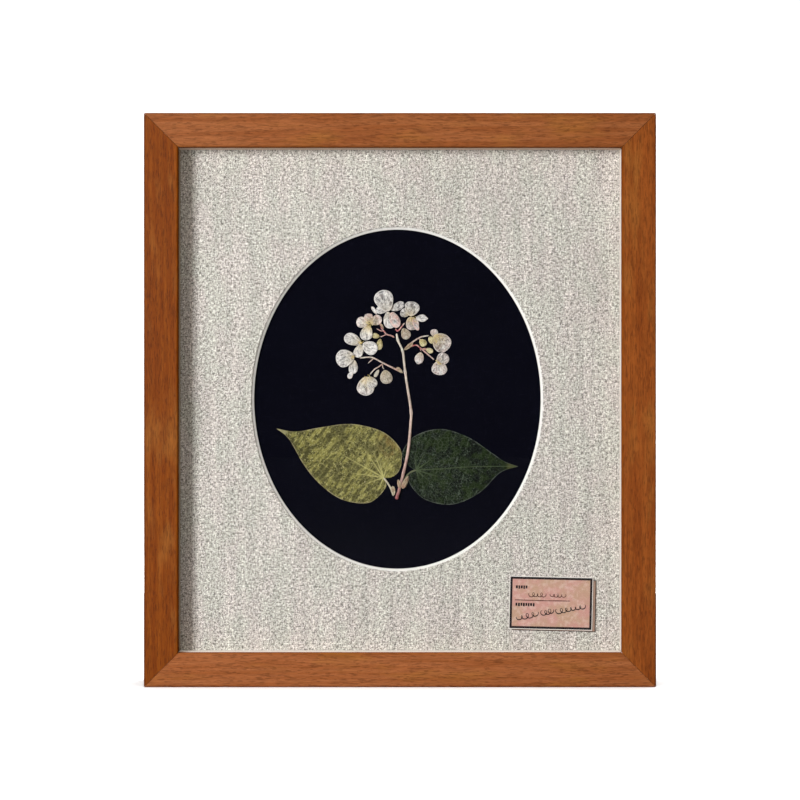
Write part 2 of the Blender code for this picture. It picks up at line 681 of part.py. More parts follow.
def make_paint():
    return {
        "wood": make_material("stained_wood", (0.30, 0.09, 0.025), 0.45),
        "glass": make_material("clear_glass", (1.0, 1.0, 1.0), 0.02, transmission=1.0),
        "core": make_material("white_board", (0.82, 0.80, 0.76), 0.85),
        "linen": make_material("linen", (0.56, 0.53, 0.48), 0.95),
        "card": make_material("black_card", (0.004, 0.004, 0.008), 0.9),
        "board": make_material("back_board", (0.33, 0.22, 0.13), 0.8),
        "steel": make_material("steel", (0.55, 0.55, 0.53), 0.35, metallic=1.0),
        "paper": make_material("backing_paper", (0.60, 0.57, 0.52), 0.9),
        "label": make_material("label_paper", (0.58, 0.36, 0.29), 0.85),
        "leaf_olive": make_material("leaf_olive", (0.20, 0.21, 0.05), 0.7),
        "leaf_dark": make_material("leaf_dark_green", (0.025, 0.045, 0.025), 0.65),
        "stem": make_material("dry_stem", (0.55, 0.42, 0.28), 0.7),
        "bract": make_material("dry_bract", (0.38, 0.22, 0.10), 0.8),
        "bud": make_material("dry_bud", (0.60, 0.50, 0.32), 0.75),
        "petal": make_material("dry_petal", (0.75, 0.73, 0.68), 0.75),
    }


def main():
    clear_scene()
    paint = make_paint()
    build_frame(paint)
    build_label(paint)
    build_plant(paint)


main()
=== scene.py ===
# %% [markdown]
# # A pressed flower frame
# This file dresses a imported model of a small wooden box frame. Behind the glass lie a linen-faced
# mat with an oval opening, a black card, and on the card a dried plant with two leaves and a head
# of pale blossoms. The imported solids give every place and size. The cells below give each solid
# its finish, and put a finer surface in its place where its facets would show.

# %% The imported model
import math

import bmesh
import bpy
import numpy as np
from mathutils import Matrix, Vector


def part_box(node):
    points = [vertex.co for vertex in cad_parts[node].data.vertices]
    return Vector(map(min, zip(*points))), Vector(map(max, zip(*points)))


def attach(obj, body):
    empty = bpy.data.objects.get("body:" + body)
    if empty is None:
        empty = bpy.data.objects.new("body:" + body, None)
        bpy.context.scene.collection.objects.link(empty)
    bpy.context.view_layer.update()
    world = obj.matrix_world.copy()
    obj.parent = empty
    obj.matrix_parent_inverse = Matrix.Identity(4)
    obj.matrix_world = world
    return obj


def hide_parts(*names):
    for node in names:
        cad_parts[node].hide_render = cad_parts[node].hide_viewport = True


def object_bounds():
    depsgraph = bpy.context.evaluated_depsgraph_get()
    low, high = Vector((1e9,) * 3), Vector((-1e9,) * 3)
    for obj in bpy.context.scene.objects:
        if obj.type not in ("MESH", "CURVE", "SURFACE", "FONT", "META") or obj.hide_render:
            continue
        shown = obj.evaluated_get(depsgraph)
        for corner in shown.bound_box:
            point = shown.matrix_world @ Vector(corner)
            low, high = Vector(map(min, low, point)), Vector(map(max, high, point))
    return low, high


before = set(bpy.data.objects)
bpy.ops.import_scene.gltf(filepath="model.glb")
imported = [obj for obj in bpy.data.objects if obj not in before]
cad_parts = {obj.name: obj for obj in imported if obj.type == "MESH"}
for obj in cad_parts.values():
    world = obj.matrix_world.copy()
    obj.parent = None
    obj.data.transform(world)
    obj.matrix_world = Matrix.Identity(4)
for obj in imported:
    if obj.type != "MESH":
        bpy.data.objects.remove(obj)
cad_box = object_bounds()
print("CAD box", [tuple(round(v, 4) for v in corner) for corner in cad_box])

# %% [markdown]
# ## Lengths and places
# Everything is in metres. The plant is small, so its points are written in millimetres from the
# foot of its stem, with X to the right and Z up, and one function turns them into places in the
# frame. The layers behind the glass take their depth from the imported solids, so that a finer
# piece always lies where its solid lay.

# %% Lengths
MM = 0.001
STEM_FOOT = np.array([-0.0019, 0.0931])
OVAL_CENTRE = np.array([-0.0013, 0.1439])
FRAME_LOW, FRAME_HIGH = (np.array(corner) for corner in cad_box)
MID_HEIGHT = (FRAME_LOW[2] + FRAME_HIGH[2]) / 2
CARD_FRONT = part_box("black_card")[0].y


def from_foot(points):
    """Places in millimetres from the stem's foot, as X and Z in metres in the frame."""
    return np.asarray(points, float) * MM + STEM_FOOT


# %% [markdown]
# ## Camera
# The photograph looks straight at the glass from about a metre away: close enough to see a strip
# of the inner walls, far enough that the frame stays square. At that distance 800 pixels span
# just under 400 mm at the front of the frame, which fixes the focal length.

# %% Camera
CAMERA_DISTANCE = 1.0
VIEW_WIDTH = 0.3996
SENSOR_WIDTH_MM = 36.0

camera_data = bpy.data.cameras.new("camera")
camera_data.sensor_width = SENSOR_WIDTH_MM
camera_data.lens = SENSOR_WIDTH_MM * CAMERA_DISTANCE / VIEW_WIDTH
camera = bpy.data.objects.new("camera", camera_data)
camera.location = (0.0, FRAME_LOW[1] - CAMERA_DISTANCE, MID_HEIGHT)
camera.rotation_euler = (math.radians(90), 0.0, 0.0)
bpy.context.scene.collection.objects.link(camera)
bpy.context.scene.camera = camera
bpy.context.scene.view_settings.view_transform = "Standard"
print("lens", round(camera_data.lens, 1), "mm")

# %% [markdown]
# ## Light
# The shadow of the left rail lies 8 to 9 mm wide on the linen, and the top rail's 2 to 3 mm. The
# linen is 13 mm behind the front, so the main light comes from the left, about 34 degrees off the
# axis, and a little from above. Its soft edge asks for a lamp half a metre wide at under two
# metres. A wide, weak and slightly warm lamp in front fills the shadows, and the glass doesn't
# mirror it. A light from straight overhead keeps the floor white and hardly touches the glass.
# One more lamp behind the frame lights the backdrop, and one lights the back for the other views.

# %% Lights


def add_area_light(name, place, target, size, power):
    """A square lamp that faces a target and that no camera shows."""
    data = bpy.data.lights.new(name, "AREA")
    data.size = size
    data.energy = power
    lamp = bpy.data.objects.new(name, data)
    lamp.location = place
    way = Vector(target) - Vector(place)
    lamp.rotation_euler = way.to_track_quat("-Z", "Y").to_euler()
    lamp.visible_camera = False
    lamp.visible_transmission = False
    bpy.context.scene.collection.objects.link(lamp)
    return lamp


middle = (0.0, 0.0, MID_HEIGHT)
KEY_DISTANCE = 1.7
KEY_WAY = np.array([-0.67, -1.0, 0.19])
FILL_TONE = (1.0, 0.86, 0.72)
key_place = np.array(middle) + KEY_WAY / np.linalg.norm(KEY_WAY) * KEY_DISTANCE
add_area_light("key_light", key_place, middle, size=0.46, power=28.0)
fill_light = add_area_light("fill_light", (0.17, -1.7, 0.4), middle, size=1.2, power=6.1)
fill_light.data.color = FILL_TONE
fill_light.visible_glossy = False
add_area_light("backdrop_light", (0.0, 0.5, 0.6), (0.0, 2.5, 0.5), size=1.2, power=34.0)
add_area_light("back_light", (1.2, 1.6, 1.3), middle, size=0.9, power=30.0)

overhead_data = bpy.data.lights.new("overhead_light", "SUN")
overhead_data.energy = 3.1
overhead_data.angle = math.radians(12)
overhead = bpy.data.objects.new("overhead_light", overhead_data)
overhead.visible_transmission = False
bpy.context.scene.collection.objects.link(overhead)

# %% [markdown]
# The room gives a little light from all round, and is white where the camera sees it past the
# floor. In the photograph the glass mirrors nothing, as if a black cloth hung behind the camera.
# So the room and the floor turn dark for a ray that has come only by way of the glass: such a
# ray is singular, which means bent or mirrored without blur, and has met no dull surface yet.

# %% The room
AMBIENT = 0.13
AMBIENT_ON_METAL = 0.35
AMBIENT_IN_GLASS = 0.012


def only_by_glass(tree, path):
    """1 for a ray that came by the glass alone, otherwise 0."""
    dull = tree.nodes.new("ShaderNodeMath")
    dull.operation = "MINIMUM"
    dull.inputs[1].default_value = 1.0
    tree.links.new(path.outputs["Diffuse Depth"], dull.inputs[0])
    clear = tree.nodes.new("ShaderNodeMath")
    clear.operation = "SUBTRACT"
    clear.use_clamp = True
    tree.links.new(path.outputs["Is Singular Ray"], clear.inputs[0])
    tree.links.new(dull.outputs[0], clear.inputs[1])
    return clear.outputs[0]


world = bpy.data.worlds.new("room")
bpy.context.scene.world = world
world.use_nodes = True
room = world.node_tree
sky = room.nodes["Background"]
sky.inputs["Color"].default_value = (1.0, 1.0, 1.0, 1.0)
room_path = room.nodes.new("ShaderNodeLightPath")
strength = None
for factor, value in (
        (room_path.outputs["Is Glossy Ray"], AMBIENT_ON_METAL),
        (only_by_glass(room, room_path), AMBIENT_IN_GLASS),
        (room_path.outputs["Is Camera Ray"], 1.0)):
    choice = room.nodes.new("ShaderNodeMix")
    choice.inputs["A"].default_value = AMBIENT
    choice.inputs["B"].default_value = value
    room.links.new(factor, choice.inputs["Factor"])
    if strength is not None:
        room.links.new(strength, choice.inputs["A"])
    strength = choice.outputs["Result"]
room.links.new(strength, sky.inputs["Strength"])

# %% [markdown]
# ## Surfaces from arrays
# A shape here is a function of two parameters. The function is worked out for a whole grid at
# once, which gives an array of points, and the faces between them follow from the grid's size.
# One helper turns such arrays into a mesh, with an optional UV map and named values per point
# that materials can read.

# %% Mesh helpers


def grid_faces(rows, columns, close_rows=False, close_columns=False, first=0):
    """The quads between the points of a grid, numbered row by row from `first`."""
    row = np.arange(rows if close_rows else rows - 1)[:, None]
    column = np.arange(columns if close_columns else columns - 1)[None, :]
    next_row, next_column = (row + 1) % rows, (column + 1) % columns
    corners = [
        row * columns + column,
        next_row * columns + column,
        next_row * columns + next_column,
        row * columns + next_column,
    ]
    return np.stack([np.broadcast_to(c, corners[0].shape) for c in corners], -1).reshape(-1, 4) + first


def fan_faces(centre, ring):
    """The triangles from one point to each pair of neighbours on a closed ring of points."""
    ring = np.asarray(ring)
    return np.stack([np.full(len(ring), centre), ring, np.roll(ring, -1)], -1)


def add_piece(name, points, faces, material, replaces=(), uv=None, values=None):
    """A smooth piece that rides on the frame: `faces` is a list of arrays of quads or triangles."""
    points = np.asarray(points, np.float32).reshape(-1, 3)
    corners = np.concatenate([np.asarray(part).reshape(-1) for part in faces]).astype(np.int32)
    sizes = np.concatenate([np.full(len(part), np.shape(part)[1]) for part in faces])
    starts = np.concatenate([[0], np.cumsum(sizes)[:-1]]).astype(np.int32)
    mesh = bpy.data.meshes.new(name)
    mesh.vertices.add(len(points))
    mesh.vertices.foreach_set("co", points.reshape(-1))
    mesh.loops.add(len(corners))
    mesh.loops.foreach_set("vertex_index", corners)
    mesh.polygons.add(len(sizes))
    mesh.polygons.foreach_set("loop_start", starts)
    mesh.polygons.foreach_set("use_smooth", np.ones(len(sizes), bool))
    mesh.update(calc_edges=True)
    if uv is not None:
        layer = mesh.uv_layers.new(name="UVMap")
        layer.data.foreach_set("uv", np.asarray(uv, np.float32).reshape(-1, 2)[corners].reshape(-1))
    for label, value in (values or {}).items():
        attribute = mesh.attributes.new(label, "FLOAT", "POINT")
        attribute.data.foreach_set("value", np.asarray(value, np.float32).reshape(-1))
    mesh.validate()
    mesh.materials.append(material)
    piece = bpy.data.objects.new(name, mesh)
    bpy.context.scene.collection.objects.link(piece)
    turn_outwards(piece)
    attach(piece, "root")
    if replaces:
        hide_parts(*replaces)
    return piece


def turn_outwards(piece):
    """Faces of each closed shell point out of it."""
    form = bmesh.new()
    form.from_mesh(piece.data)
    bmesh.ops.recalc_face_normals(form, faces=form.faces)
    form.to_mesh(piece.data)
    form.free()


def smooth_line(points, spacing):
    """An open Catmull-Rom curve through the points, read about evenly."""
    points = np.asarray(points, float)
    control = np.vstack([2 * points[0] - points[1], points, 2 * points[-1] - points[-2]])
    line = []
    for a, b, c, d in zip(control[:-3], control[1:-2], control[2:-1], control[3:]):
        t = np.arange(max(1, round(np.linalg.norm(c - b) / spacing)))[:, None]
        t = t / len(t)
        line.append(
            b + (c - a) * t / 2 + (2 * a - 5 * b + 4 * c - d) * t**2 / 2
            + (3 * b - a - 3 * c + d) * t**3 / 2
        )
    return np.vstack(line + [points[-1:]])


# %% [markdown]
# A finer piece takes its height above the card from the solid that it replaces. The solid is a
# set of triangles, and the height at a point is read from the triangle that holds it: its three
# corner weights say how much each corner's height counts. A point just outside the solid's
# faceted outline takes the nearest triangle, with its weights cut off at zero.

# %% Heights from the solids
EDGE_ON_SHARE = 1e-4


def triangles_of(node):
    """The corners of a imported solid's triangles, as an array of triangle, corner and axis."""
    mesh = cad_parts[node].data
    points = np.empty(len(mesh.vertices) * 3, np.float32)
    mesh.vertices.foreach_get("co", points)
    mesh.calc_loop_triangles()
    corners = np.empty(len(mesh.loop_triangles) * 3, np.int32)
    mesh.loop_triangles.foreach_get("vertices", corners)
    return points.reshape(-1, 3)[corners].reshape(-1, 3, 3).astype(float)


def skin_depth(node, places, side):
    """Y of a solid's front skin (side -1) or back skin (side 1) at each X and Z.

    Each corner's depth counts by its weight. Triangles seen edge-on are left out.
    """
    triangles = triangles_of(node)
    a, b, c = triangles[:, 0], triangles[:, 1], triangles[:, 2]
    facing = np.cross(b - a, c - a)[:, 1] * side
    a, b, c = (corner[facing > facing.max() * EDGE_ON_SHARE] for corner in (a, b, c))
    x, z = places[:, 0, None], places[:, 1, None]
    whole = (b[:, 2] - c[:, 2]) * (a[:, 0] - c[:, 0]) + (c[:, 0] - b[:, 0]) * (a[:, 2] - c[:, 2])
    first = ((b[:, 2] - c[:, 2]) * (x - c[:, 0]) + (c[:, 0] - b[:, 0]) * (z - c[:, 2])) / whole
    second = ((c[:, 2] - a[:, 2]) * (x - c[:, 0]) + (a[:, 0] - c[:, 0]) * (z - c[:, 2])) / whole
    weights = np.stack([first, second, 1 - first - second])
    kept = np.clip(weights, 0, 1)
    kept /= kept.sum(axis=0)
    miss_x = (kept[0] * a[:, 0] + kept[1] * b[:, 0] + kept[2] * c[:, 0]) - x
    miss_z = (kept[0] * a[:, 2] + kept[1] * b[:, 2] + kept[2] * c[:, 2]) - z
    nearest = (miss_x**2 + miss_z**2).argmin(axis=1)
    pick = np.arange(len(places)), nearest
    return kept[0][pick] * a[nearest, 1] + kept[1][pick] * b[nearest, 1] + kept[2][pick] * c[nearest, 1]


def blur_rings(grid, passes):
    """Each value of a grid of rings, closed along its second axis, drawn towards its neighbours."""
    for _ in range(passes):
        inner = np.vstack([grid[:1], grid[:-1]])
        outer = np.vstack([grid[1:], grid[-1:]])
        grid = (grid * 2 + np.roll(grid, 1, 1) + np.roll(grid, -1, 1) + inner + outer) / 6
    return grid


# %% [markdown]
# ## Materials
# Every finish is worked out from noise and from the piece's own values, with no picture. A small
# set of helpers keeps each material short: one adds a node and sets its inputs, one makes a
# material with its shader. Effects that several materials share are node groups, made once.

# %% Node helpers


def add_node(tree, kind, inputs=None, **settings):
    """A node of a kind, with settings as properties and inputs as values or as links."""
    node = tree.nodes.new("ShaderNode" + kind)
    for name, value in settings.items():
        setattr(node, name, value)
    for name, value in (inputs or {}).items():
        socket = node.inputs[name]
        if isinstance(value, bpy.types.NodeSocket):
            tree.links.new(value, socket)
        else:
            socket.default_value = value
    return node


def mix_colours(tree, factor, first, second, blend="MIX"):
    """One colour socket, mixed from two colours or sockets."""
    node = add_node(tree, "Mix", data_type="RGBA", blend_type=blend, clamp_factor=True)
    for socket, value in ((node.inputs[0], factor), (node.inputs[6], first), (node.inputs[7], second)):
        if isinstance(value, bpy.types.NodeSocket):
            tree.links.new(value, socket)
        else:
            socket.default_value = value if socket == node.inputs[0] else (*value, 1.0)
    return node.outputs[2]


def calculate(tree, operation, *values):
    """One number socket from a Math node, cut to 0 and 1 where the operation ends in a star."""
    node = add_node(tree, "Math", operation=operation.rstrip("*"), use_clamp=operation.endswith("*"))
    for socket, value in zip(node.inputs, values):
        if isinstance(value, bpy.types.NodeSocket):
            tree.links.new(value, socket)
        else:
            socket.default_value = value
    return node.outputs[0]


def step_between(tree, value, low, high, from_value=0.0, to_value=1.0):
    """A socket that goes smoothly from one value to another as its input goes from low to high."""
    node = add_node(
        tree, "MapRange", {"Value": value, "From Min": low, "From Max": high,
                           "To Min": from_value, "To Max": to_value},
        interpolation_type="SMOOTHSTEP")
    return node.outputs["Result"]


def noise(tree, place, scale, detail=2.0, roughness=0.5):
    """A socket with smooth noise about 0.5, finer where the scale is higher."""
    return add_node(tree, "TexNoise", {"Vector": place, "Scale": scale, "Detail": detail,
                                       "Roughness": roughness}).outputs["Fac"]


def stretched(tree, place, scale):
    """A place with each axis multiplied, so that noise read there is drawn out."""
    return add_node(tree, "Mapping", {"Vector": place, "Scale": scale}).outputs["Vector"]


def start_material(name, roughness, metallic=0.0, gloss=0.12):
    """A new material's node tree, its shader and its object coordinates. Dry things shine little."""
    material = bpy.data.materials.new(name)
    material.use_nodes = True
    tree = material.node_tree
    shader = tree.nodes["Principled BSDF"]
    shader.inputs["Roughness"].default_value = roughness
    shader.inputs["Metallic"].default_value = metallic
    shader.inputs["Specular IOR Level"].default_value = gloss
    place = tree.nodes.new("ShaderNodeTexCoord").outputs["Object"]
    return material, tree, shader, place


def set_bump(tree, shader, height, distance, strength=1.0):
    """Relief from a height socket. The distance is the relief in metres from 0 to 1 on it."""
    bump = add_node(tree, "Bump", {"Height": height, "Distance": distance, "Strength": strength})
    tree.links.new(bump.outputs["Normal"], shader.inputs["Normal"])


def value_of(tree, label):
    """The socket of a named value that a piece's points carry."""
    return add_node(tree, "Attribute", attribute_name=label).outputs["Fac"]


def new_group(name, inputs, outputs):
    """An empty node group, with its input and output nodes. Inputs are (name, kind, default)."""
    group = bpy.data.node_groups.new(name, "ShaderNodeTree")
    for label, kind, default in inputs:
        socket = group.interface.new_socket(label, in_out="INPUT", socket_type="NodeSocket" + kind)
        if default is not None:
            socket.default_value = default
    for label, kind in outputs:
        group.interface.new_socket(label, in_out="OUTPUT", socket_type="NodeSocket" + kind)
    return group, group.nodes.new("NodeGroupInput").outputs, group.nodes.new("NodeGroupOutput").inputs


def place_group(tree, group, inputs):
    """The outputs of a group placed in a tree, with values or sockets as its inputs."""
    node = tree.nodes.new("ShaderNodeGroup")
    node.node_tree = group
    for name, value in inputs.items():
        if isinstance(value, bpy.types.NodeSocket):
            tree.links.new(value, node.inputs[name])
        else:
            node.inputs[name].default_value = value
    return node.outputs


# %% [markdown]
# ## The wooden rails
# The moulding is an open-grained reddish wood, stained orange brown. Along each rail run long soft
# streaks, and in them sit short dark pores. The grain follows the rail, so the level rails and the
# upright ones differ only in the direction in which the noise is stretched, and in their tones. One
# node group holds the wood, and its inputs are the place, already turned so that the grain runs
# along X, and the rail's pale and dark tone. These tones hold painted light: the level rails are
# painted paler, a painted sheen for the light they catch along their grain, and the bottom rail is
# painted paler than the top one and the left one darker than the right one, so that the lamps light
# them evenly. The eased edges are painted darker, more on the outer one than on the inner one:
# painted shade where they round away from the front. The lacquer has worn off them. A last input
# says how far a point is from the middle of the rail's face, and is positive towards the opening.

# %% Wood
RAIL_FACE = 17 * MM
EDGE_START = RAIL_FACE / 2 - 1.1 * MM
EDGE_END = RAIL_FACE / 2 - 0.4 * MM
# Painted shade on the eased edges: the share of the wood's tone left on the outer and the inner edge.
OUTER_EDGE_SHADE = 0.72
INNER_EDGE_SHADE = 0.95
FACE_LACQUER = 0.12
wood_group, wood_in, wood_out = new_group(
    "wood_grain",
    [("Along Grain", "Vector", None), ("Pale", "Color", (1, 1, 1, 1)), ("Dark", "Color", (0, 0, 0, 1)),
     ("Pore", "Color", (0, 0, 0, 1)), ("Across", "Float", 0.0)],
    [("Color", "Color"), ("Height", "Float"), ("Roughness", "Float"), ("Lacquer", "Float")])
grain_place = wood_in["Along Grain"]
long_streak = noise(wood_group, stretched(wood_group, grain_place, (16, 380, 380)), 1.0, 4.0, 0.6)
fine_streak = noise(wood_group, stretched(wood_group, grain_place, (190, 2100, 2100)), 1.0, 3.0, 0.65)
patch = noise(wood_group, stretched(wood_group, grain_place, (30, 110, 110)), 1.0, 3.0)
pore_noise = noise(wood_group, stretched(wood_group, grain_place, (300, 2300, 2300)), 1.0, 2.0, 0.5)
pore_mask = step_between(wood_group, pore_noise, 0.54, 0.64)
toned = add_node(wood_group, "Mix", data_type="RGBA")
wood_group.links.new(step_between(wood_group, long_streak, 0.36, 0.66), toned.inputs[0])
wood_group.links.new(wood_in["Dark"], toned.inputs[6])
wood_group.links.new(wood_in["Pale"], toned.inputs[7])
golden = mix_colours(wood_group, step_between(wood_group, patch, 0.5, 0.75, 0.0, 0.5), toned.outputs[2],
                     (0.30, 0.115, 0.022))
fine = step_between(wood_group, fine_streak, 0.3, 0.7, 0.82, 1.16)
fined = mix_colours(wood_group, 1.0, golden, fine, "MULTIPLY")
pore_share = calculate(wood_group, "MULTIPLY", pore_mask, 0.4)
pored = mix_colours(wood_group, pore_share, fined, wood_in["Pore"])
from_middle = calculate(wood_group, "ABSOLUTE", wood_in["Across"])
inward = calculate(wood_group, "GREATER_THAN", wood_in["Across"], 0.0)
# Painted shade: the eased edges are darkened, the outer one more than the inner one.
edge_shade_gap = INNER_EDGE_SHADE - OUTER_EDGE_SHADE
side_edge_shade = calculate(wood_group, "MULTIPLY_ADD", inward, edge_shade_gap, OUTER_EDGE_SHADE)
painted_edge_shade = step_between(wood_group, from_middle, EDGE_START, EDGE_END, 1.0, side_edge_shade)
edge_shaded = mix_colours(wood_group, 1.0, pored, painted_edge_shade, "MULTIPLY")
wood_group.links.new(edge_shaded, wood_out["Color"])
lacquer = step_between(wood_group, from_middle, EDGE_START, EDGE_END, FACE_LACQUER, 0.0)
wood_group.links.new(lacquer, wood_out["Lacquer"])
wood_group.links.new(calculate(wood_group, "SUBTRACT", fine_streak, pore_mask), wood_out["Height"])
wood_group.links.new(step_between(wood_group, fine_streak, 0.2, 0.8, 0.42, 0.58), wood_out["Roughness"])


def make_wood(side_name, upright, number, pale, dark):
    """A rail's wood. Its place is turned so that the grain runs along X, and is moved along."""
    material, tree, shader, place = start_material("wood_" + side_name, 0.5, gloss=0.0)
    low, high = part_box("rail_" + side_name)
    parts = add_node(tree, "SeparateXYZ", {"Vector": place}).outputs
    if upright:
        outer = low.x if side_name == "left" else high.x
        offset = calculate(tree, "SUBTRACT", parts["X"], outer)
    else:
        outer = high.z if side_name == "top" else low.z
        offset = calculate(tree, "SUBTRACT", parts["Z"], outer)
    from_outside = calculate(tree, "ABSOLUTE", offset)
    across = calculate(tree, "SUBTRACT", from_outside, RAIL_FACE / 2)
    turned = add_node(tree, "Mapping", {
        "Vector": place, "Rotation": (0.0, math.radians(90) if upright else 0.0, 0.0),
        "Location": (0.37 * number, 0.11 * number, 0.05 * number)})
    wood = place_group(tree, wood_group, {
        "Along Grain": turned.outputs["Vector"], "Pale": (*pale, 1), "Dark": (*dark, 1),
        "Pore": (0.045, 0.010, 0.003, 1), "Across": across})
    tree.links.new(wood["Color"], shader.inputs["Base Color"])
    tree.links.new(wood["Roughness"], shader.inputs["Roughness"])
    tree.links.new(wood["Lacquer"], shader.inputs["Coat Weight"])
    shader.inputs["Coat Roughness"].default_value = 0.4
    set_bump(tree, shader, wood["Height"], 0.06 * MM, 0.6)
    return material


# One wood, with painted light in each rail's tones: the level rails are painted paler as a painted sheen,
# the bottom paler than the top and the left darker than the right, to even out the lamps.
RAIL_TONES_WITH_PAINTED_LIGHT = {
    "top": (False, (0.290, 0.097, 0.031), (0.232, 0.068, 0.0180)),
    "bottom": (False, (0.335, 0.112, 0.038), (0.268, 0.080, 0.0220)),
    "left": (True, (0.208, 0.051, 0.0040), (0.160, 0.034, 0.0025)),
    "right": (True, (0.258, 0.068, 0.0110), (0.200, 0.047, 0.0070)),
}
for number, (side_name, (upright, pale, dark)) in enumerate(RAIL_TONES_WITH_PAINTED_LIGHT.items()):
    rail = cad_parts["rail_" + side_name]
    rail.data.materials.clear()
    rail.data.materials.append(make_wood(side_name, upright, number, pale, dark))
print("rails dressed")

# %% [markdown]
# The rails are mitred, and a thin line of glue and filler holds each joint. It has the section of
# the moulding, and runs from the frame's outer corner to the inner one.

# %% Mitre joints
GLUE_THICKNESS = 0.13 * MM
GLUE_BACK = 0.4 * MM
EDGE_ROUND = 0.6 * MM
REBATE_FACE = 12 * MM
LIP_BACK = -10.8 * MM


def build_mitres():
    """The moulding's section, laid along each diagonal: X and Z go inwards by the same amount."""
    front, back = FRAME_LOW[1] + GLUE_BACK, FRAME_HIGH[1] - GLUE_BACK
    section = np.array([
        (EDGE_ROUND, front), (RAIL_FACE - GLUE_BACK, front), (RAIL_FACE - GLUE_BACK, LIP_BACK),
        (REBATE_FACE - GLUE_BACK, LIP_BACK), (REBATE_FACE - GLUE_BACK, back), (EDGE_ROUND, back)])
    sides = np.array([(1, 1), (1, -1), (-1, 1), (-1, -1)])
    half_z = (FRAME_HIGH[2] - FRAME_LOW[2]) / 2
    corner_x = sides[:, :1] * (FRAME_HIGH[0] - section[:, 0])
    corner_z = sides[:, 1:] * (half_z - section[:, 0])
    away = (sides * (1, -1) / math.sqrt(2) * GLUE_THICKNESS / 2)[:, None]
    flat = np.stack([corner_x, corner_z + MID_HEIGHT], -1)
    shells = np.stack([flat + away, flat - away], 1)
    depth = np.broadcast_to(section[:, 1], shells.shape[:3])
    points = np.stack([shells[..., 0], depth, shells[..., 1]], -1).reshape(-1, 3)
    shift = (np.arange(len(sides)) * 2 * len(section))[:, None, None]
    walls = (grid_faces(2, len(section), close_columns=True) + shift).reshape(-1, 4)
    caps = np.array([(0, 1, 2, 3), (0, 3, 4, 5), (6, 7, 8, 9), (6, 9, 10, 11)])
    return points, [walls, (caps + shift).reshape(-1, 4)]


glue, glue_tree, glue_shader, glue_place = start_material("mitre_filler", 0.7)
glue_patch = step_between(glue_tree, noise(glue_tree, glue_place, 450.0, 3.0), 0.48, 0.60)
glue_tree.links.new(mix_colours(glue_tree, glue_patch, (0.185, 0.056, 0.014), (0.40, 0.19, 0.09)),
                    glue_shader.inputs["Base Color"])
mitre_points, mitre_faces = build_mitres()
mitres = add_piece("mitre_filler", mitre_points, mitre_faces, glue)
mitres.data.set_sharp_from_angle(angle=math.radians(30))

# %% [markdown]
# ## The glass
# The pane is plain glass. Its shader bends and mirrors light for every ray that looks through it.
# A ray that a lamp sends, or that has left a dull surface, gathers light much faster where it may
# go straight on. So for those two kinds of ray the pane is simply clear. Otherwise all behind it
# would be dark and noisy.

# %% Glass


def make_glass():
    """Clear glass, and plain transparency for a ray from a lamp or from a dull surface."""
    material, tree, shader, _ = start_material("clear_glass", 0.0, gloss=0.5)
    shader.inputs["Base Color"].default_value = (0.985, 0.995, 0.99, 1)
    shader.inputs["Transmission Weight"].default_value = 1.0
    shader.inputs["IOR"].default_value = 1.45
    clear = add_node(tree, "BsdfTransparent")
    path = add_node(tree, "LightPath")
    passes = calculate(tree, "MAXIMUM", path.outputs["Is Shadow Ray"], path.outputs["Is Diffuse Ray"])
    choice = add_node(tree, "MixShader", {0: passes})
    tree.links.new(shader.outputs[0], choice.inputs[1])
    tree.links.new(clear.outputs[0], choice.inputs[2])
    tree.links.new(choice.outputs[0], tree.nodes["Material Output"].inputs["Surface"])
    return material


def dress(node, material):
    """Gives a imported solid, whose shape is right, its finish."""
    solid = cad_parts[node]
    solid.data.materials.clear()
    solid.data.materials.append(material)


dress("glass", make_glass())

# %% [markdown]
# ## Boards, card and paper
# White board, black card, fibreboard and paper are all pressed fibre. They differ in tone, in how
# coarse the fibres are and in how strongly single fibres stand out, so one group makes them all:
# a cloudy tone, short fibres drawn out in two directions, and a little relief.

# %% Pressed fibre
fibre_group, fibre_in, fibre_out = new_group(
    "pressed_fibre",
    [("Place", "Vector", None), ("Base", "Color", (1, 1, 1, 1)), ("Fibre", "Color", (0, 0, 0, 1)),
     ("Cloud", "Float", 0.1), ("Fibre Amount", "Float", 0.3), ("Scale", "Float", 1.0)],
    [("Color", "Color"), ("Height", "Float")])
scaled = add_node(fibre_group, "VectorMath", operation="SCALE")
fibre_group.links.new(fibre_in["Place"], scaled.inputs[0])
fibre_group.links.new(fibre_in["Scale"], scaled.inputs["Scale"])
fibre_place = scaled.outputs[0]
cloud = noise(fibre_group, fibre_place, 45.0, 4.0)
level_fibre = noise(fibre_group, stretched(fibre_group, fibre_place, (350, 2400, 2400)), 1.0, 2.0)
steep_fibre = noise(fibre_group, stretched(fibre_group, fibre_place, (2400, 2400, 350)), 1.0, 2.0)
fibres = calculate(fibre_group, "MAXIMUM", level_fibre, steep_fibre)
fibre_mask = calculate(fibre_group, "MULTIPLY", step_between(fibre_group, fibres, 0.60, 0.74),
                       fibre_in["Fibre Amount"])
tone = calculate(fibre_group, "MULTIPLY_ADD", calculate(fibre_group, "SUBTRACT", cloud, 0.5),
                 fibre_in["Cloud"], 1.0)
clouded = mix_colours(fibre_group, 1.0, fibre_in["Base"], tone, "MULTIPLY")
fibre_colour = mix_colours(fibre_group, fibre_mask, clouded, fibre_in["Fibre"])
fibre_group.links.new(fibre_colour, fibre_out["Color"])
fibre_group.links.new(fibres, fibre_out["Height"])


def make_fibre(name, base, fibre, cloud_amount, fibre_amount, scale, relief, roughness=0.9,
               gloss=0.2):
    """Board or paper of one tone, with fibres of another and a relief in metres."""
    material, tree, shader, place = start_material(name, roughness, gloss=gloss)
    made = place_group(tree, fibre_group, {
        "Place": place, "Base": (*base, 1), "Fibre": (*fibre, 1), "Cloud": cloud_amount,
        "Fibre Amount": fibre_amount, "Scale": scale})
    tree.links.new(made["Color"], shader.inputs["Base Color"])
    set_bump(tree, shader, made["Height"], relief, 0.5)
    return material


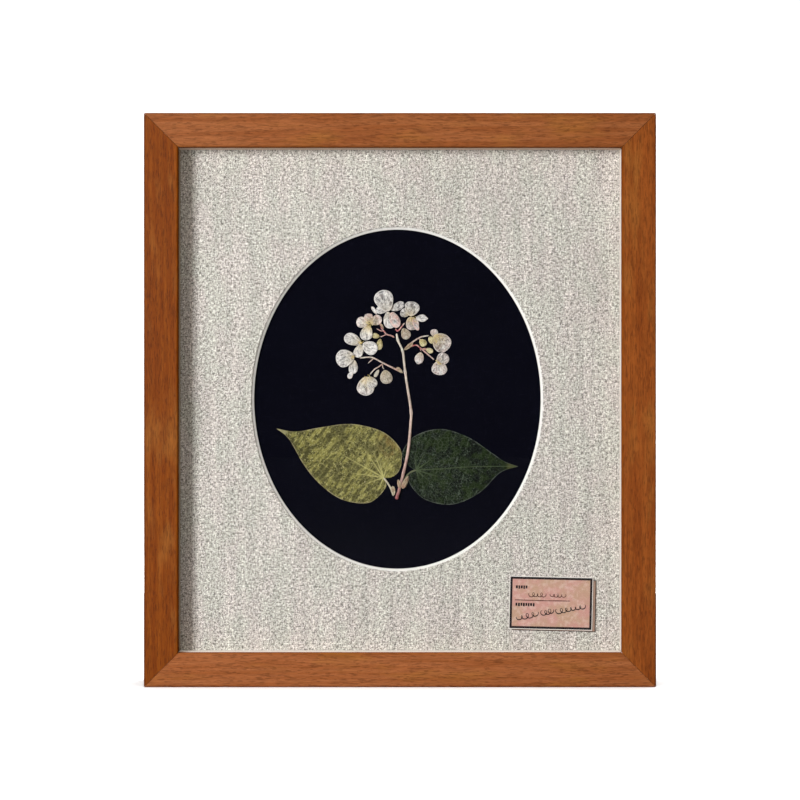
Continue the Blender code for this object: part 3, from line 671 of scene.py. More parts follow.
PAPER_RELIEF = 0.03 * MM
BOARD_RELIEF = 0.08 * MM
FIBRE_SHADE = 0.85
white_board = make_fibre("white_board", (0.90, 0.885, 0.85), (0.76, 0.73, 0.68), 0.10, 0.3, 1.0,
                         PAPER_RELIEF)
black_card = make_fibre("black_card", (0.0022, 0.0023, 0.0056), (0.007, 0.007, 0.013), 0.5, 0.5, 0.8,
                        PAPER_RELIEF, gloss=0.0)
fibreboard = make_fibre("fibreboard", (0.30, 0.19, 0.105), (0.15, 0.085, 0.045), 0.5, 0.7, 0.45,
                        BOARD_RELIEF, roughness=0.8)
# The four spacers are one board. The left and top ones are painted darker and browner: painted shade on the
# walls that face away from the light.
SPACER_TONES_WITH_PAINTED_SHADE = {
    "top": (0.70, 0.54, 0.44), "bottom": (0.88, 0.80, 0.73),
    "left": (0.34, 0.27, 0.19), "right": (0.88, 0.80, 0.73),
}
for side_name, spacer_tone in SPACER_TONES_WITH_PAINTED_SHADE.items():
    fibre_tone = tuple(FIBRE_SHADE * part for part in spacer_tone)
    spacer_board = make_fibre("spacer_board_" + side_name, spacer_tone, fibre_tone, 0.1, 0.3, 1.0,
                              PAPER_RELIEF)
    dress("spacer_" + side_name, spacer_board)
dress("black_card", black_card)
dress("back_panel", fibreboard)

# %% [markdown]
# ## The mat and its bevel
# The opening's edge is bevelled, so the board's white core shows as a ring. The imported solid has
# an oval of 72 straight stretches, which would show. Here the board is one surface: its section,
# a closed loop, is carried round the oval in half-degree steps, from the oval out to the board's
# edge. The cut rises straight for half the board's thickness at the back. Then it slopes at about
# 40 degrees, and it is rounded over at the front, under the linen.

# %% Mat board
MAT_STEPS = 720
LOW, HIGH = (np.array(corner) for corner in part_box("mat_board"))
MAT_THICKNESS = HIGH[1] - LOW[1]
OVAL_HALF_AXES = np.array([0.07265, 0.08595])
UNDER_LINEN = 0.2 * MM
NEVER_ZERO = 1e-9
# The cut from back to front: shares of its width outwards and of the board's thickness forwards
BEVEL = ((0.0, 0.0), (0.0, 0.52), (0.30, 0.74), (0.50, 0.91), (0.60, 0.98), (0.66, 1.0), (1.0, 1.0))


def ring_to_rectangle(low, high, steps):
    """Unit rays from the oval's middle, and how far along each the rectangle's edge lies."""
    corners = np.array([(low[0], low[2]), (high[0], low[2]), (high[0], high[2]), (low[0], high[2])])
    corners = corners - OVAL_CENTRE
    even = np.linspace(-math.pi, math.pi, steps, endpoint=False)
    angles = np.sort(np.concatenate([even, np.arctan2(corners[:, 1], corners[:, 0])]))
    rays = np.stack([np.cos(angles), np.sin(angles)], 1)
    walls = np.where(rays > 0, corners.max(0), -corners.min(0))
    return rays, (walls / np.maximum(np.abs(rays), NEVER_ZERO)).min(1)


def oval_reach(rays, axes):
    """How far along each ray an oval with these half axes lies."""
    return 1 / np.hypot(rays[:, 0] / axes[0], rays[:, 1] / axes[1])


def ring_points(rays, reach, depth):
    """Points at a reach along each ray from the oval's middle, at a depth."""
    flat = OVAL_CENTRE + rays * np.asarray(reach)[:, None]
    return np.stack([flat[:, 0], np.broadcast_to(depth, len(flat)), flat[:, 1]], 1)


def build_mat():
    """Rings from the opening's back edge up the cut and over the front to the board's edge."""
    front = LOW[1] - UNDER_LINEN
    rays, wall = ring_to_rectangle(LOW, HIGH, MAT_STEPS)
    inner = oval_reach(rays, OVAL_HALF_AXES)
    outer = oval_reach(rays, OVAL_HALF_AXES + MAT_THICKNESS)
    loops = [
        ring_points(rays, inner + (outer - inner) * out, HIGH[1] + (front - HIGH[1]) * up)
        for out, up in BEVEL
    ]
    loops += [ring_points(rays, wall, front), ring_points(rays, wall, HIGH[1])]
    faces = grid_faces(len(loops), len(rays), close_rows=True, close_columns=True)
    mat = add_piece("mat_board_fine", np.array(loops), [faces], white_board, ["mat_board"])
    mat.data.set_sharp_from_angle(angle=math.radians(50))
    return mat


mat_board = build_mat()
print("mat", len(mat_board.data.polygons), "faces")

# %% [markdown]
# ## The linen
# The mat is faced with a coarse natural linen. The threads are uneven: each one swells and thins
# along its length, some are grey, some almost white. So the weave is not a clean checker. Two
# sets of threads, one level and one upright, each take their own noise stretched along the
# thread, and a fine checker says which of the two lies on top. Single dark and white slubs are
# laid over them. The cloth is one sheet. Its edge is turned over the rim of the opening, and a
# low bead runs behind the turned edge.

# %% Linen material
THREADS_PER_METRE = 1500.0


def make_linen():
    """Each set of threads has its own noise. A product of two sines says which lies on top."""
    material, tree, shader, place = start_material("linen", 0.95)
    warp_noise = noise(tree, stretched(tree, place, (1400, 1, 560)), 1.0, 3.0, 0.7)
    weft_noise = noise(tree, stretched(tree, place, (560, 1, 1400)), 1.0, 3.0, 0.7)
    wobble = calculate(tree, "MULTIPLY", noise(tree, place, 700.0, 1.0), 6.0)
    parts = add_node(tree, "SeparateXYZ", {"Vector": place}).outputs
    turns = math.pi * THREADS_PER_METRE
    across = calculate(tree, "SINE", calculate(tree, "MULTIPLY_ADD", parts["X"], turns, wobble))
    up = calculate(tree, "SINE", calculate(tree, "MULTIPLY_ADD", parts["Z"], turns, wobble))
    weave = calculate(tree, "MULTIPLY", across, up)
    warp_on_top = step_between(tree, weave, -0.35, 0.35)
    top_thread = add_node(tree, "Mix", {"Factor": warp_on_top, "A": weft_noise, "B": warp_noise})
    fibre = top_thread.outputs["Result"]
    tone = add_node(tree, "ValToRGB", {"Fac": calculate(tree, "MULTIPLY_ADD", weave, 0.02, fibre)})
    dark, pale = tone.color_ramp.elements
    dark.position, dark.color = 0.39, (0.15, 0.142, 0.132, 1)
    pale.position, pale.color = 0.61, (0.98, 0.965, 0.945, 1)
    tone.color_ramp.elements.new(0.50).color = (0.565, 0.542, 0.505, 1)
    dark_slub = step_between(tree, noise(tree, stretched(tree, place, (900, 1, 520)), 1.0, 2.0), 0.62, 0.70)
    pale_slub = step_between(tree, noise(tree, stretched(tree, place, (620, 1, 900)), 1.0, 2.0), 0.62, 0.72)
    dark_share = calculate(tree, "MULTIPLY", dark_slub, 0.75)
    pale_share = calculate(tree, "MULTIPLY", pale_slub, 0.45)
    flecked = mix_colours(tree, dark_share, tone.outputs["Color"], (0.13, 0.12, 0.11))
    flecked = mix_colours(tree, pale_share, flecked, (0.98, 0.97, 0.95))
    tint = step_between(tree, noise(tree, stretched(tree, place, (90, 1, 45)), 1.0, 2.0), 0.38, 0.62)
    cast = mix_colours(tree, tint, (1.0, 0.96, 0.95), (0.965, 0.975, 0.935))
    tinted = mix_colours(tree, 1.0, flecked, cast, "MULTIPLY")
    streak = noise(tree, stretched(tree, place, (260, 1, 18)), 1.0, 3.0)
    streaked = mix_colours(tree, 1.0, tinted, step_between(tree, streak, 0.3, 0.7, 0.90, 1.08), "MULTIPLY")
    tree.links.new(streaked, shader.inputs["Base Color"])
    set_bump(tree, shader, calculate(tree, "MULTIPLY_ADD", weave, 0.25, fibre), 0.28 * MM, 0.9)
    return material


linen_material = make_linen()

# %% Linen sheet
LINEN_LOW, LINEN_HIGH = (np.array(corner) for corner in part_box("linen_facing"))
LINEN_AXES = OVAL_HALF_AXES + MAT_THICKNESS * 0.53
LINEN_ROLL = 0.6 * MM
RIM_WANDER = 0.06 * MM
RIM_WAVES = 97
BEAD_HEIGHT = 0.14 * MM
BEAD_WIDTH = 1.1 * MM


def build_linen():
    """A sheet of rings: a quarter turn up from the rim, a bead that falls as a cosine, a flat run."""
    rays, wall = ring_to_rectangle(LINEN_LOW, LINEN_HIGH, MAT_STEPS)
    rim = oval_reach(rays, LINEN_AXES)
    edge = rim + RIM_WANDER * (np.sin(np.arctan2(rays[:, 1], rays[:, 0]) * RIM_WAVES) + 1)
    front, back = LINEN_LOW[1], LINEN_HIGH[1]
    crest = front - BEAD_HEIGHT
    turn = np.linspace(0, math.pi / 2, 7)
    loops = [ring_points(rays, edge, back)]
    for angle in turn:
        turned = edge + LINEN_ROLL * (1 - math.cos(angle))
        loops.append(ring_points(rays, turned, back - (back - crest) * math.sin(angle)))
    for share in np.linspace(0.2, 1.0, 5):
        fall = (1 - math.cos(math.pi * share)) / 2
        loops.append(ring_points(rays, edge + LINEN_ROLL + BEAD_WIDTH * share, crest + BEAD_HEIGHT * fall))
    for share in np.linspace(0.1, 1.0, 10):
        loops.append(ring_points(rays, rim + (wall - rim) * share, front))
    loops.append(ring_points(rays, wall, back))
    faces = grid_faces(len(loops), len(rays), close_rows=True, close_columns=True)
    return add_piece("linen_sheet", np.array(loops), [faces], linen_material, ["linen_facing"])


linen = build_linen()
linen.data.set_sharp_from_angle(angle=math.radians(40))

# %% [markdown]
# ## Stems and twigs
# A pressed stem is a tube that has been squeezed flat and has dried with ridges along it. The
# section is an ellipse with a small ripple, carried along the route. The route's points are the
# ones that the solids were made from, and the height above the card is read from the solid. Each
# tube carries its share of the way up, so that one material can run from red at the foot to
# cream at the top.

# %% Stem tubes
TUBE_SIDES = 20
TUBE_SPACING = 0.35 * MM
RIDGES = 5
RIDGE_HEIGHT = 0.07
FLATNESS = 0.75


def tube_points(route, widths, node, waist=None):
    """Rings of a flattened tube: an ellipse across the route, its radius 1 plus a small sine."""
    line = smooth_line(from_foot(route), TUBE_SPACING)
    share = np.linspace(0, 1, len(line))
    half = (widths[0] + (widths[1] - widths[0]) * share) * MM / 2
    if waist is not None:
        half = half * waist(share)
    ahead = np.gradient(line, axis=0)
    ahead /= np.linalg.norm(ahead, axis=1)[:, None]
    across = np.stack([-ahead[:, 1], ahead[:, 0]], 1)
    front, back = skin_depth(node, line, -1), skin_depth(node, line, 1)
    middle, depth = (front + back) / 2, np.minimum((back - front) / 2, half * FLATNESS)
    ends = np.minimum(share, 1 - share) * len(line)
    closing = np.sqrt(np.clip(ends / 2, 0.05, 1))
    angles = np.linspace(0, 2 * math.pi, TUBE_SIDES, endpoint=False)
    ripple = 1 + RIDGE_HEIGHT * np.sin(angles * RIDGES)
    out = (half * closing)[:, None] * np.cos(angles) * ripple
    deep = middle[:, None] - (depth * closing)[:, None] * np.sin(angles) * ripple
    flat = line[:, None, :] + across[:, None, :] * out[:, :, None]
    return np.stack([flat[:, :, 0], deep, flat[:, :, 1]], -1), share


def join_tubes(tubes):
    """The points, faces and way up of several tubes in one mesh, each with closed ends."""
    points, faces, along, first = [], [], [], 0
    for rings, share in tubes:
        count = len(rings)
        points.append(rings.reshape(-1, 3))
        points.append(rings[[0, -1]].mean(1))
        faces.append(grid_faces(count, TUBE_SIDES, close_columns=True, first=first))
        caps = first + count * TUBE_SIDES
        faces.append(fan_faces(caps, first + np.arange(TUBE_SIDES)))
        faces.append(fan_faces(caps + 1, caps - TUBE_SIDES + np.arange(TUBE_SIDES)))
        along.append(np.concatenate([np.repeat(share, TUBE_SIDES), [share[0], share[-1]]]))
        first = caps + 2
    quads = np.concatenate([part for part in faces if part.shape[1] == 4])
    tris = np.concatenate([part for part in faces if part.shape[1] == 3])
    return np.concatenate(points), [quads, tris], np.concatenate(along)


# %% Stem material
CRIMSON = (0.36, 0.045, 0.07)


def make_stem(name, foot, low, high, top, crimson=0.0):
    """Four tones along the stem, with fine darker lines along it, and crimson patches."""
    material, tree, shader, place = start_material(name, 0.6)
    along = value_of(tree, "along")
    ramp = add_node(tree, "ValToRGB", {"Fac": along})
    stops = ((0.0, foot), (0.12, low), (0.45, high), (1.0, top))
    ramp.color_ramp.elements.new(0.12)
    ramp.color_ramp.elements.new(0.45)
    for element, (position, colour) in zip(ramp.color_ramp.elements, stops):
        element.position, element.color = position, (*colour, 1)
    streak = noise(tree, stretched(tree, place, (2200, 2200, 300)), 1.0, 3.0)
    patches = step_between(tree, noise(tree, place, 420.0, 2.0), 0.48, 0.60, 0.0, crimson)
    patched = mix_colours(tree, patches, ramp.outputs["Color"], CRIMSON)
    lined = mix_colours(tree, 1.0, patched, step_between(tree, streak, 0.3, 0.7, 0.62, 1.25),
                        "MULTIPLY")
    tree.links.new(lined, shader.inputs["Base Color"])
    set_bump(tree, shader, streak, 0.06 * MM, 0.5)
    return material


main_stem = make_stem("dry_main_stem", (0.29, 0.10, 0.10), (0.42, 0.27, 0.24), (0.60, 0.46, 0.39),
                      (0.70, 0.68, 0.58), 0.12)
pink_branch = make_stem("dry_pink_branch", (0.60, 0.36, 0.30), (0.56, 0.30, 0.26), (0.56, 0.34, 0.31),
                        (0.64, 0.52, 0.46), 0.75)
pale_branch = make_stem("dry_pale_branch", (0.42, 0.24, 0.18), (0.46, 0.31, 0.26), (0.56, 0.45, 0.39),
                        (0.68, 0.64, 0.56), 0.2)

# %% Stem and branches
STEM_ROUTE = [
    (0.0, 0.0), (1.7, 5.9), (3.8, 14.3), (6.0, 24.8), (7.3, 38.7), (7.4, 45.4), (5.1, 60.5),
    (4.1, 68.3), (3.2, 75.3), (0.9, 80.5), (0.1, 84.2),
]
BRANCHES = {
    "branch_upper_left": (pink_branch, [
        ([(-0.9, 82.1), (-2.5, 83.0), (-4.9, 83.7), (-6.1, 85.1), (-8.0, 87.4)], (0.9, 0.7)),
        ([(-6.5, 85.4), (-7.8, 85.5), (-10.0, 86.6)], (0.6, 0.5)),
        ([(-5.2, 83.6), (-6.7, 82.9), (-8.2, 82.4)], (0.6, 0.5))]),
    "branch_top_right": (pink_branch, [
        ([(0.6, 85.2), (1.6, 86.1), (2.9, 87.8), (4.3, 89.5)], (0.9, 0.7)),
        ([(-0.4, 86.6), (0.4, 85.4), (1.2, 85.8)], (0.8, 0.7))]),
    "branch_lower_left": (pale_branch, [
        ([(2.6, 64.6), (0.9, 65.4), (-6.4, 69.0), (-11.3, 71.6), (-14.1, 72.1), (-18.5, 71.7)], (1.1, 0.7)),
        ([(-6.7, 68.8), (-9.0, 67.2), (-11.1, 65.9), (-13.4, 63.3)], (0.8, 0.6)),
        ([(-11.3, 71.6), (-12.9, 70.3), (-14.3, 69.0)], (0.6, 0.5)),
        ([(-6.9, 68.6), (-6.8, 66.9), (-6.1, 66.0)], (0.6, 0.5))]),
    "branch_right": (pale_branch, [
        ([(4.2, 76.2), (7.2, 78.9), (9.0, 80.3), (12.4, 82.3), (16.6, 83.1)], (1.0, 0.7)),
        ([(11.2, 81.7), (12.0, 81.2), (12.6, 80.4)], (0.6, 0.5))]),
    "branch_right_lower": (pink_branch, [
        ([(7.3, 77.4), (8.8, 78.0), (10.2, 78.2), (11.5, 77.4), (16.9, 72.8), (19.2, 70.8)], (0.8, 0.7)),
        ([(11.7, 77.3), (12.2, 76.4), (12.5, 75.2)], (0.6, 0.5)),
        ([(13.1, 76.4), (14.7, 76.2), (16.4, 75.6), (18.0, 74.9)], (0.6, 2.4))]),
}
DRIED = 0.85
KNOT_PLACES = np.array([0.0, 0.10, 0.53, 0.76, 0.89, 0.96])
KNOT_SIZES = np.array([0.35, 0.3, 0.25, 0.3, 0.3, 0.3])
KNOT_REACH = 0.012


def knots(share):
    """The main stem swells where leaves and branches leave it: 1 plus a bell curve at each."""
    return 1 + (KNOT_SIZES * np.exp(-((share[:, None] - KNOT_PLACES) / KNOT_REACH) ** 2)).sum(1)


stem_points, stem_faces, stem_along = join_tubes([tube_points(STEM_ROUTE, (1.5, 0.95), "stem", knots)])
add_piece("stem_fine", stem_points, stem_faces, main_stem, ["stem"],
          values={"along": stem_along})
for name, (material, tubes) in BRANCHES.items():
    made = join_tubes([tube_points(route, np.array(widths) * DRIED, name) for route, widths in tubes])
    add_piece(name + "_fine", made[0], made[1], material, [name], values={"along": made[2]})
print("stem and", len(BRANCHES), "branches")

# %% [markdown]
# ## The leaves
# Each leaf is heart-shaped. Its veins meet in the notch, so the surface is built in rings round
# that place: one parameter goes round the edge, the other from the meeting place out to it. Main
# veins run to chosen points of the edge, and smaller ones leave them at an angle that points to
# the tip. The distance from every point of the surface to the nearest vein gives the relief, with
# the vein as a low ridge in a valley, and it gives the colour too. Pressing has puckered the blade
# between the veins, which waves of different length imitate.

# %% Leaf shapes
LEFT_LEAF = {
    "base": (-6.5, 11.1),
    "edge": [
        (-5.9, 10.8), (-2.8, 11.1), (0.7, 13.5), (2.6, 18.5), (1.7, 26.2), (-7.2, 34.4),
        (-22.5, 38.2), (-37.8, 36.6), (-50.9, 34.4), (-60.7, 35.9),
    ],
    "edge_back": [
        (-60.7, 35.9), (-54.4, 30.5), (-46.5, 17.0), (-37.8, 6.9), (-26.9, -0.3), (-13.7, -1.6),
        (-5.6, 5.6), (-5.9, 10.8),
    ],
    "veins": [
        [(-6.5, 11.1), (-25.0, 21.3), (-42.0, 30.6), (-59.5, 35.4)],
        [(-6.5, 11.1), (-16.8, 26.0), (-24.0, 33.0), (-33.0, 36.6)],
        [(-6.5, 11.1), (-11.5, 24.5), (-13.5, 31.0), (-19.0, 37.0)],
        [(-6.5, 11.1), (-8.5, 21.5), (-7.0, 28.0), (-7.5, 33.0)],
        [(-6.5, 11.1), (-4.2, 18.0), (-1.0, 23.0), (1.2, 25.0)],
        [(-6.5, 11.1), (-20.0, 13.0), (-32.0, 14.0), (-43.0, 13.5)],
        [(-6.5, 11.1), (-15.0, 8.0), (-22.0, 4.5), (-30.0, 2.0)],
        [(-6.5, 11.1), (-9.0, 5.0), (-12.0, 1.0), (-15.0, -1.0)],
    ],
    "petiole": [(-6.5, 11.1), (-4.6, 8.6), (-2.8, 5.6), (-1.4, 1.7)],
    "creases": math.radians(52), "pucker": 0.17, "vein_fade": 2.0, "midrib": 0.0,
}
RIGHT_LEAF = {
    "base": (10.2, 14.9),
    "edge": [
        (9.6, 14.8), (6.6, 16.9), (3.9, 19.9), (3.2, 24.3), (9.3, 32.1), (22.4, 35.7),
        (36.4, 31.6), (48.6, 23.5), (55.0, 19.2), (61.8, 16.7),
    ],
    "edge_back": [
        (61.8, 16.7), (52.7, 13.5), (41.9, 3.1), (28.3, -2.6), (14.7, -0.1), (7.0, 7.6),
        (6.9, 12.1), (9.6, 14.8),
    ],
    "veins": [
        [(10.2, 14.9), (24.0, 15.6), (40.0, 16.6), (60.5, 16.8)],
        [(10.2, 14.9), (21.5, 23.5), (25.5, 29.8), (32.0, 33.0)],
        [(10.2, 14.9), (14.5, 24.0), (18.0, 31.0), (22.0, 35.0)],
        [(10.2, 14.9), (9.5, 22.0), (9.0, 27.0), (9.3, 31.0)],
        [(10.2, 14.9), (24.0, 10.5), (34.0, 5.5), (40.5, 3.0)],
        [(10.2, 14.9), (18.0, 8.0), (23.0, 2.5), (28.0, -1.5)],
        [(10.2, 14.9), (12.0, 8.0), (13.5, 3.5), (15.5, 0.5)],
    ],
    "petiole": [(10.2, 14.9), (7.5, 13.9), (5.3, 11.8), (3.6, 8.5)],
    "creases": math.radians(70), "pucker": 0.12, "vein_fade": 2.3, "midrib": 0.8,
}
LEAF_RINGS = 100
LEAF_EDGE_SPACING = 0.33 * MM
LEAF_THICKNESS = 0.35 * MM
PRESS_GAP = 0.15 * MM
# Widths and heights of the veins, in millimetres
VEIN_WIDTH, VEIN_TAPER, SIDE_VEIN_WIDTH, MIDRIB_WIDTH = 0.36, 0.20, 0.22, 0.24
VEIN_RELIEF, SIDE_VEIN_RELIEF, PILLOW_RELIEF = 0.09, 0.04, 0.12


def side_veins(vein, spacing, length, rng):
    """Small veins that leave a main one on both sides, at about 50 degrees, and bend forward."""
    line = smooth_line(vein, 0.5)
    ahead = np.gradient(line, axis=0)
    ahead /= np.linalg.norm(ahead, axis=1)[:, None]
    made = []
    steps = range(round(spacing * 1.6), len(line) - round(spacing), round(spacing * 2))
    for side in (-1, 1):
        for step in steps:
            start = line[min(len(line) - 2, step + int(rng.integers(0, 3)))]
            way = ahead[step]
            out = np.array([-way[1], way[0]]) * side
            reach = length * (1 - 0.6 * step / len(line)) * rng.uniform(0.8, 1.1)
            halfway = start + (way * 0.5 + out * 0.6) * reach / 2
            made.append([start, halfway, start + (way * 1.25 + out * 0.95) * reach])
    return made


def distance_to(lines, places):
    """How far each place is from the nearest of the lines, and how far along that line it is."""
    best, along = np.full(len(places), 1.0), np.zeros(len(places))
    for line in lines:
        points = from_foot(smooth_line(line, 1.2))
        start, leg = points[:-1], np.diff(points, axis=0)
        share = ((places[:, None] - start) * leg).sum(-1) / (leg**2).sum(-1)
        share = np.clip(share, 0, 1)
        gap = np.linalg.norm(places[:, None] - start - leg * share[..., None], axis=-1)
        pick = gap.argmin(1)
        rows = np.arange(len(places))
        closer = gap[rows, pick] < best
        best = np.where(closer, gap[rows, pick], best)
        along = np.where(closer, (pick + share[rows, pick]) / len(leg), along)
    return best, along


def waves(places, count, shortest, longest, rng, ridge=None):
    """A sum of plane waves of many lengths, between about -1 and 1. Its ridges may have one way."""
    length = np.exp(rng.uniform(math.log(shortest), math.log(longest), count))
    angle = rng.uniform(0, math.pi, count) if ridge is None else rng.normal(ridge + math.pi / 2, 0.4, count)
    turn = (places @ np.stack([np.cos(angle), np.sin(angle)])) * 2 * math.pi / length
    height = np.sin(turn + rng.uniform(0, 2 * math.pi, count)) * length
    return height.sum(1) / np.sqrt((length**2).sum() / 2) / 2


def build_leaf(name, leaf, material, seed):
    """A blade of rings from the veins' meeting place out to the edge, with its petiole.

    Its relief is a bell curve across each vein, a pillow that rises away from the veins, and
    the waves of pressing. It is lower at the edge.
    """
    rng = np.random.default_rng(seed)
    edge = np.vstack([
        smooth_line(from_foot(leaf["edge"]), LEAF_EDGE_SPACING)[:-1],
        smooth_line(from_foot(leaf["edge_back"]), LEAF_EDGE_SPACING)[:-1]])
    base = from_foot(leaf["base"])
    ring = (np.arange(1, LEAF_RINGS + 1) / LEAF_RINGS)[:, None, None]
    flat = np.vstack([base, (base + (edge - base) * ring).reshape(-1, 2)])
    margin = (1 - ring[:, :, 0]) * np.linalg.norm(edge - base, axis=1)
    to_edge = np.concatenate([[1.0], margin.reshape(-1)])
    main_gap, main_along = distance_to(leaf["veins"], flat)
    small = [line for vein in leaf["veins"] for line in side_veins(vein, 4.5, 9.0, rng)]
    small_gap, _ = distance_to(small, flat)
    midrib_gap, _ = distance_to(leaf["veins"][:1], flat)
    midrib = leaf["midrib"] * np.exp(-((midrib_gap / (MIDRIB_WIDTH * MM)) ** 2))
    main_width = (VEIN_WIDTH - VEIN_TAPER * main_along) * MM
    main = np.exp(-((main_gap / main_width) ** 2))
    fine = np.exp(-((small_gap / (SIDE_VEIN_WIDTH * MM)) ** 2))
    pillow = np.clip(np.minimum(main_gap, small_gap * 1.2) / (1.8 * MM), 0, 1) ** 0.7
    pucker = waves(flat, 40, 1.8 * MM, 6 * MM, rng)
    pucker = pucker + waves(flat, 24, 2.2 * MM, 6 * MM, rng, leaf["creases"])
    calm = np.clip(to_edge / (1.2 * MM), 0, 1)
    relief = VEIN_RELIEF * main + SIDE_VEIN_RELIEF * fine + PILLOW_RELIEF * pillow + leaf["pucker"] * pucker
    relief = relief * MM * (0.25 + 0.75 * calm)
    front = CARD_FRONT - PRESS_GAP - LEAF_THICKNESS * 0.75 - relief
    top = np.stack([flat[:, 0], front, flat[:, 1]], 1)
    under = np.stack([edge[:, 0], np.full(len(edge), CARD_FRONT - PRESS_GAP), edge[:, 1]], 1)
    hub = np.array([[base[0], CARD_FRONT - PRESS_GAP, base[1]]])
    count = len(edge)
    last = 1 + (LEAF_RINGS - 1) * count
    round_edge = np.arange(count)
    tris = [fan_faces(0, 1 + round_edge), fan_faces(last + 2 * count, last + count + round_edge)]
    blade_points = np.vstack([top, under, hub])
    tube, tube_faces, _ = join_tubes([tube_points(leaf["petiole"], (0.9, 0.8), name)])
    first = len(blade_points)
    quads = [grid_faces(LEAF_RINGS + 1, count, close_columns=True, first=1), tube_faces[0] + first]
    tris.append(tube_faces[1] + first)
    points = np.vstack([blade_points, tube])
    stalk, pad = np.ones(len(tube)), np.zeros(count + 1)
    fading = np.clip(1.15 - main_along * leaf["vein_fade"], 0.12, 1)
    values = {
        "vein": np.concatenate([np.maximum(main * fading, np.maximum(fine * 0.2, midrib)), pad, stalk]),
        "near_edge": np.concatenate([np.exp(-((to_edge / (0.4 * MM)) ** 2)), pad + 1, stalk * 0]),
        "stalk": np.concatenate([flat[:, 0] * 0, pad, stalk]),
    }
    faces = [np.concatenate(quads), np.concatenate(tris)]
    made = add_piece(name + "_fine", points, faces, material, [name], values=values)
    print(name, len(made.data.polygons), "faces,", len(small), "small veins")
    return made


# %% Leaf materials


def make_leaf(name, tones, places, shares, roughness):
    """A mottled, creased blade with a net of fine veins, a paler rim in stretches, and stains.

    One tone is laid over another: each has a mask, from noise, a distance or a value per point.
    """
    material, tree, shader, place = start_material(name, roughness, gloss=0.04)

    def near(where, outer, inner):
        """Goes to 1 from an outer to an inner distance from one of the leaf's places."""
        away = add_node(tree, "VectorMath", {0: place, 1: places[where]}, operation="DISTANCE")
        return step_between(tree, away.outputs["Value"], outer, inner)

    def spread(source, low, high, most=1.0):
        """A mask from 0 up to its most."""
        return step_between(tree, source, low, high, 0.0, most)

    def times(first, second):
        """The product of two masks."""
        return calculate(tree, "MULTIPLY", first, second)

    turn = {"Vector": place, "Rotation": (0.0, shares["crease_turn"], 0.0)}
    slanted = add_node(tree, "Mapping", turn).outputs["Vector"]
    mottle = noise(tree, stretched(tree, slanted, (0.55, 1, 1.3)), 430.0, 4.0, 0.7)
    speck = noise(tree, place, 1300.0, 2.0)
    crease = noise(tree, stretched(tree, slanted, (140, 400, 660)), 1.0, 2.0)
    blotch = noise(tree, place, 120.0, 3.0, 0.6)
    patch = noise(tree, place, 210.0, 3.0)
    spotty = step_between(tree, noise(tree, place, 260.0, 2.0), 0.35, 0.65, 0.15, 0.95)
    cells = add_node(tree, "TexVoronoi", {"Vector": place, "Scale": 620.0}, feature="DISTANCE_TO_EDGE")
    net_line = step_between(tree, cells.outputs["Distance"], 0.10, 0.0)
    net_most = shares["net"]
    net_reach = step_between(tree, near("base", 0.045, 0.008), 0.0, 1.0, net_most * 0.35, net_most)
    stain_reach = near("stain", shares["stain_size"], shares["stain_size"] * 0.4)
    blade = mix_colours(tree, spread(mottle, 0.42, 0.58), tones["dark"], tones["body"])
    for mask, tone in (
            (spread(mottle, 0.58, 0.70, shares["stroke"]), "pale"),
            (spread(speck, 0.53, 0.66, shares["speck"]), "pale"),
            # The crease valleys of the relief are painted darker: painted shade in the folds.
            (spread(crease, 0.50, 0.60, 0.72), "dark"),
            (spread(blotch, 0.50, 0.64, 0.7), "dark"),
            (times(stain_reach, spread(patch, 0.44, 0.56, shares["stain"])), "stain"),
            (times(net_line, net_reach), "pale"),
            (times(near("tip", 0.0065, 0.0045), 0.85), "tip"),
            (times(value_of(tree, "vein"), 0.85), "vein"),
            (times(value_of(tree, "near_edge"), spotty), "edge"),
            (value_of(tree, "stalk"), "stalk")):
        blade = mix_colours(tree, mask, blade, tones[tone])
    tree.links.new(blade, shader.inputs["Base Color"])
    rough = calculate(tree, "MULTIPLY_ADD", speck, 0.4, calculate(tree, "MULTIPLY", mottle, 1.6))
    set_bump(tree, shader, calculate(tree, "SUBTRACT", rough, crease), 0.42 * MM, 0.9)
    return material


def in_frame(x, z):
    """A place on the card from millimetres off the stem's foot, as a point in the frame."""
    flat = from_foot((x, z))
    return (flat[0], CARD_FRONT, flat[1])


OLIVE = {
    "body": (0.235, 0.218, 0.062), "dark": (0.054, 0.050, 0.019), "pale": (0.47, 0.44, 0.19),
    "vein": (0.50, 0.47, 0.18), "edge": (0.42, 0.37, 0.22), "stain": (0.19, 0.12, 0.035),
    "tip": (0.30, 0.28, 0.15), "stalk": (0.52, 0.48, 0.37),
}
# The dark green leaf's pale bluish-grey tone, in its strokes and specks, is partly painted sheen and partly
# paler patches of the leaf.
DARK_GREEN = {
    "body": (0.0052, 0.0115, 0.0040), "dark": (0.0012, 0.0026, 0.0018), "pale": (0.090, 0.112, 0.085),
    "vein": (0.070, 0.095, 0.045), "edge": (0.11, 0.125, 0.11), "stain": (0.015, 0.028, 0.0036),
    "tip": (0.075, 0.080, 0.030), "stalk": (0.12, 0.13, 0.075),
}
OLIVE_PLACES = {"stain": in_frame(-1.0, 29.0), "base": in_frame(-6.5, 11.1), "tip": in_frame(-60.7, 35.9)}
GREEN_PLACES = {"stain": in_frame(35.0, 18.0), "base": in_frame(10.2, 14.9), "tip": in_frame(61.8, 16.7)}
OLIVE_SHARES = {
    "crease_turn": math.radians(52), "speck": 0.6, "stroke": 0.35, "stain": 0.5, "stain_size": 0.011,
    "net": 0.2,
}
GREEN_SHARES = {
    "crease_turn": math.radians(72), "speck": 0.6, "stroke": 0.8, "stain": 0.5, "stain_size": 0.040,
    "net": 0.30,
}
olive_leaf = make_leaf("leaf_olive", OLIVE, OLIVE_PLACES, OLIVE_SHARES, 0.6)
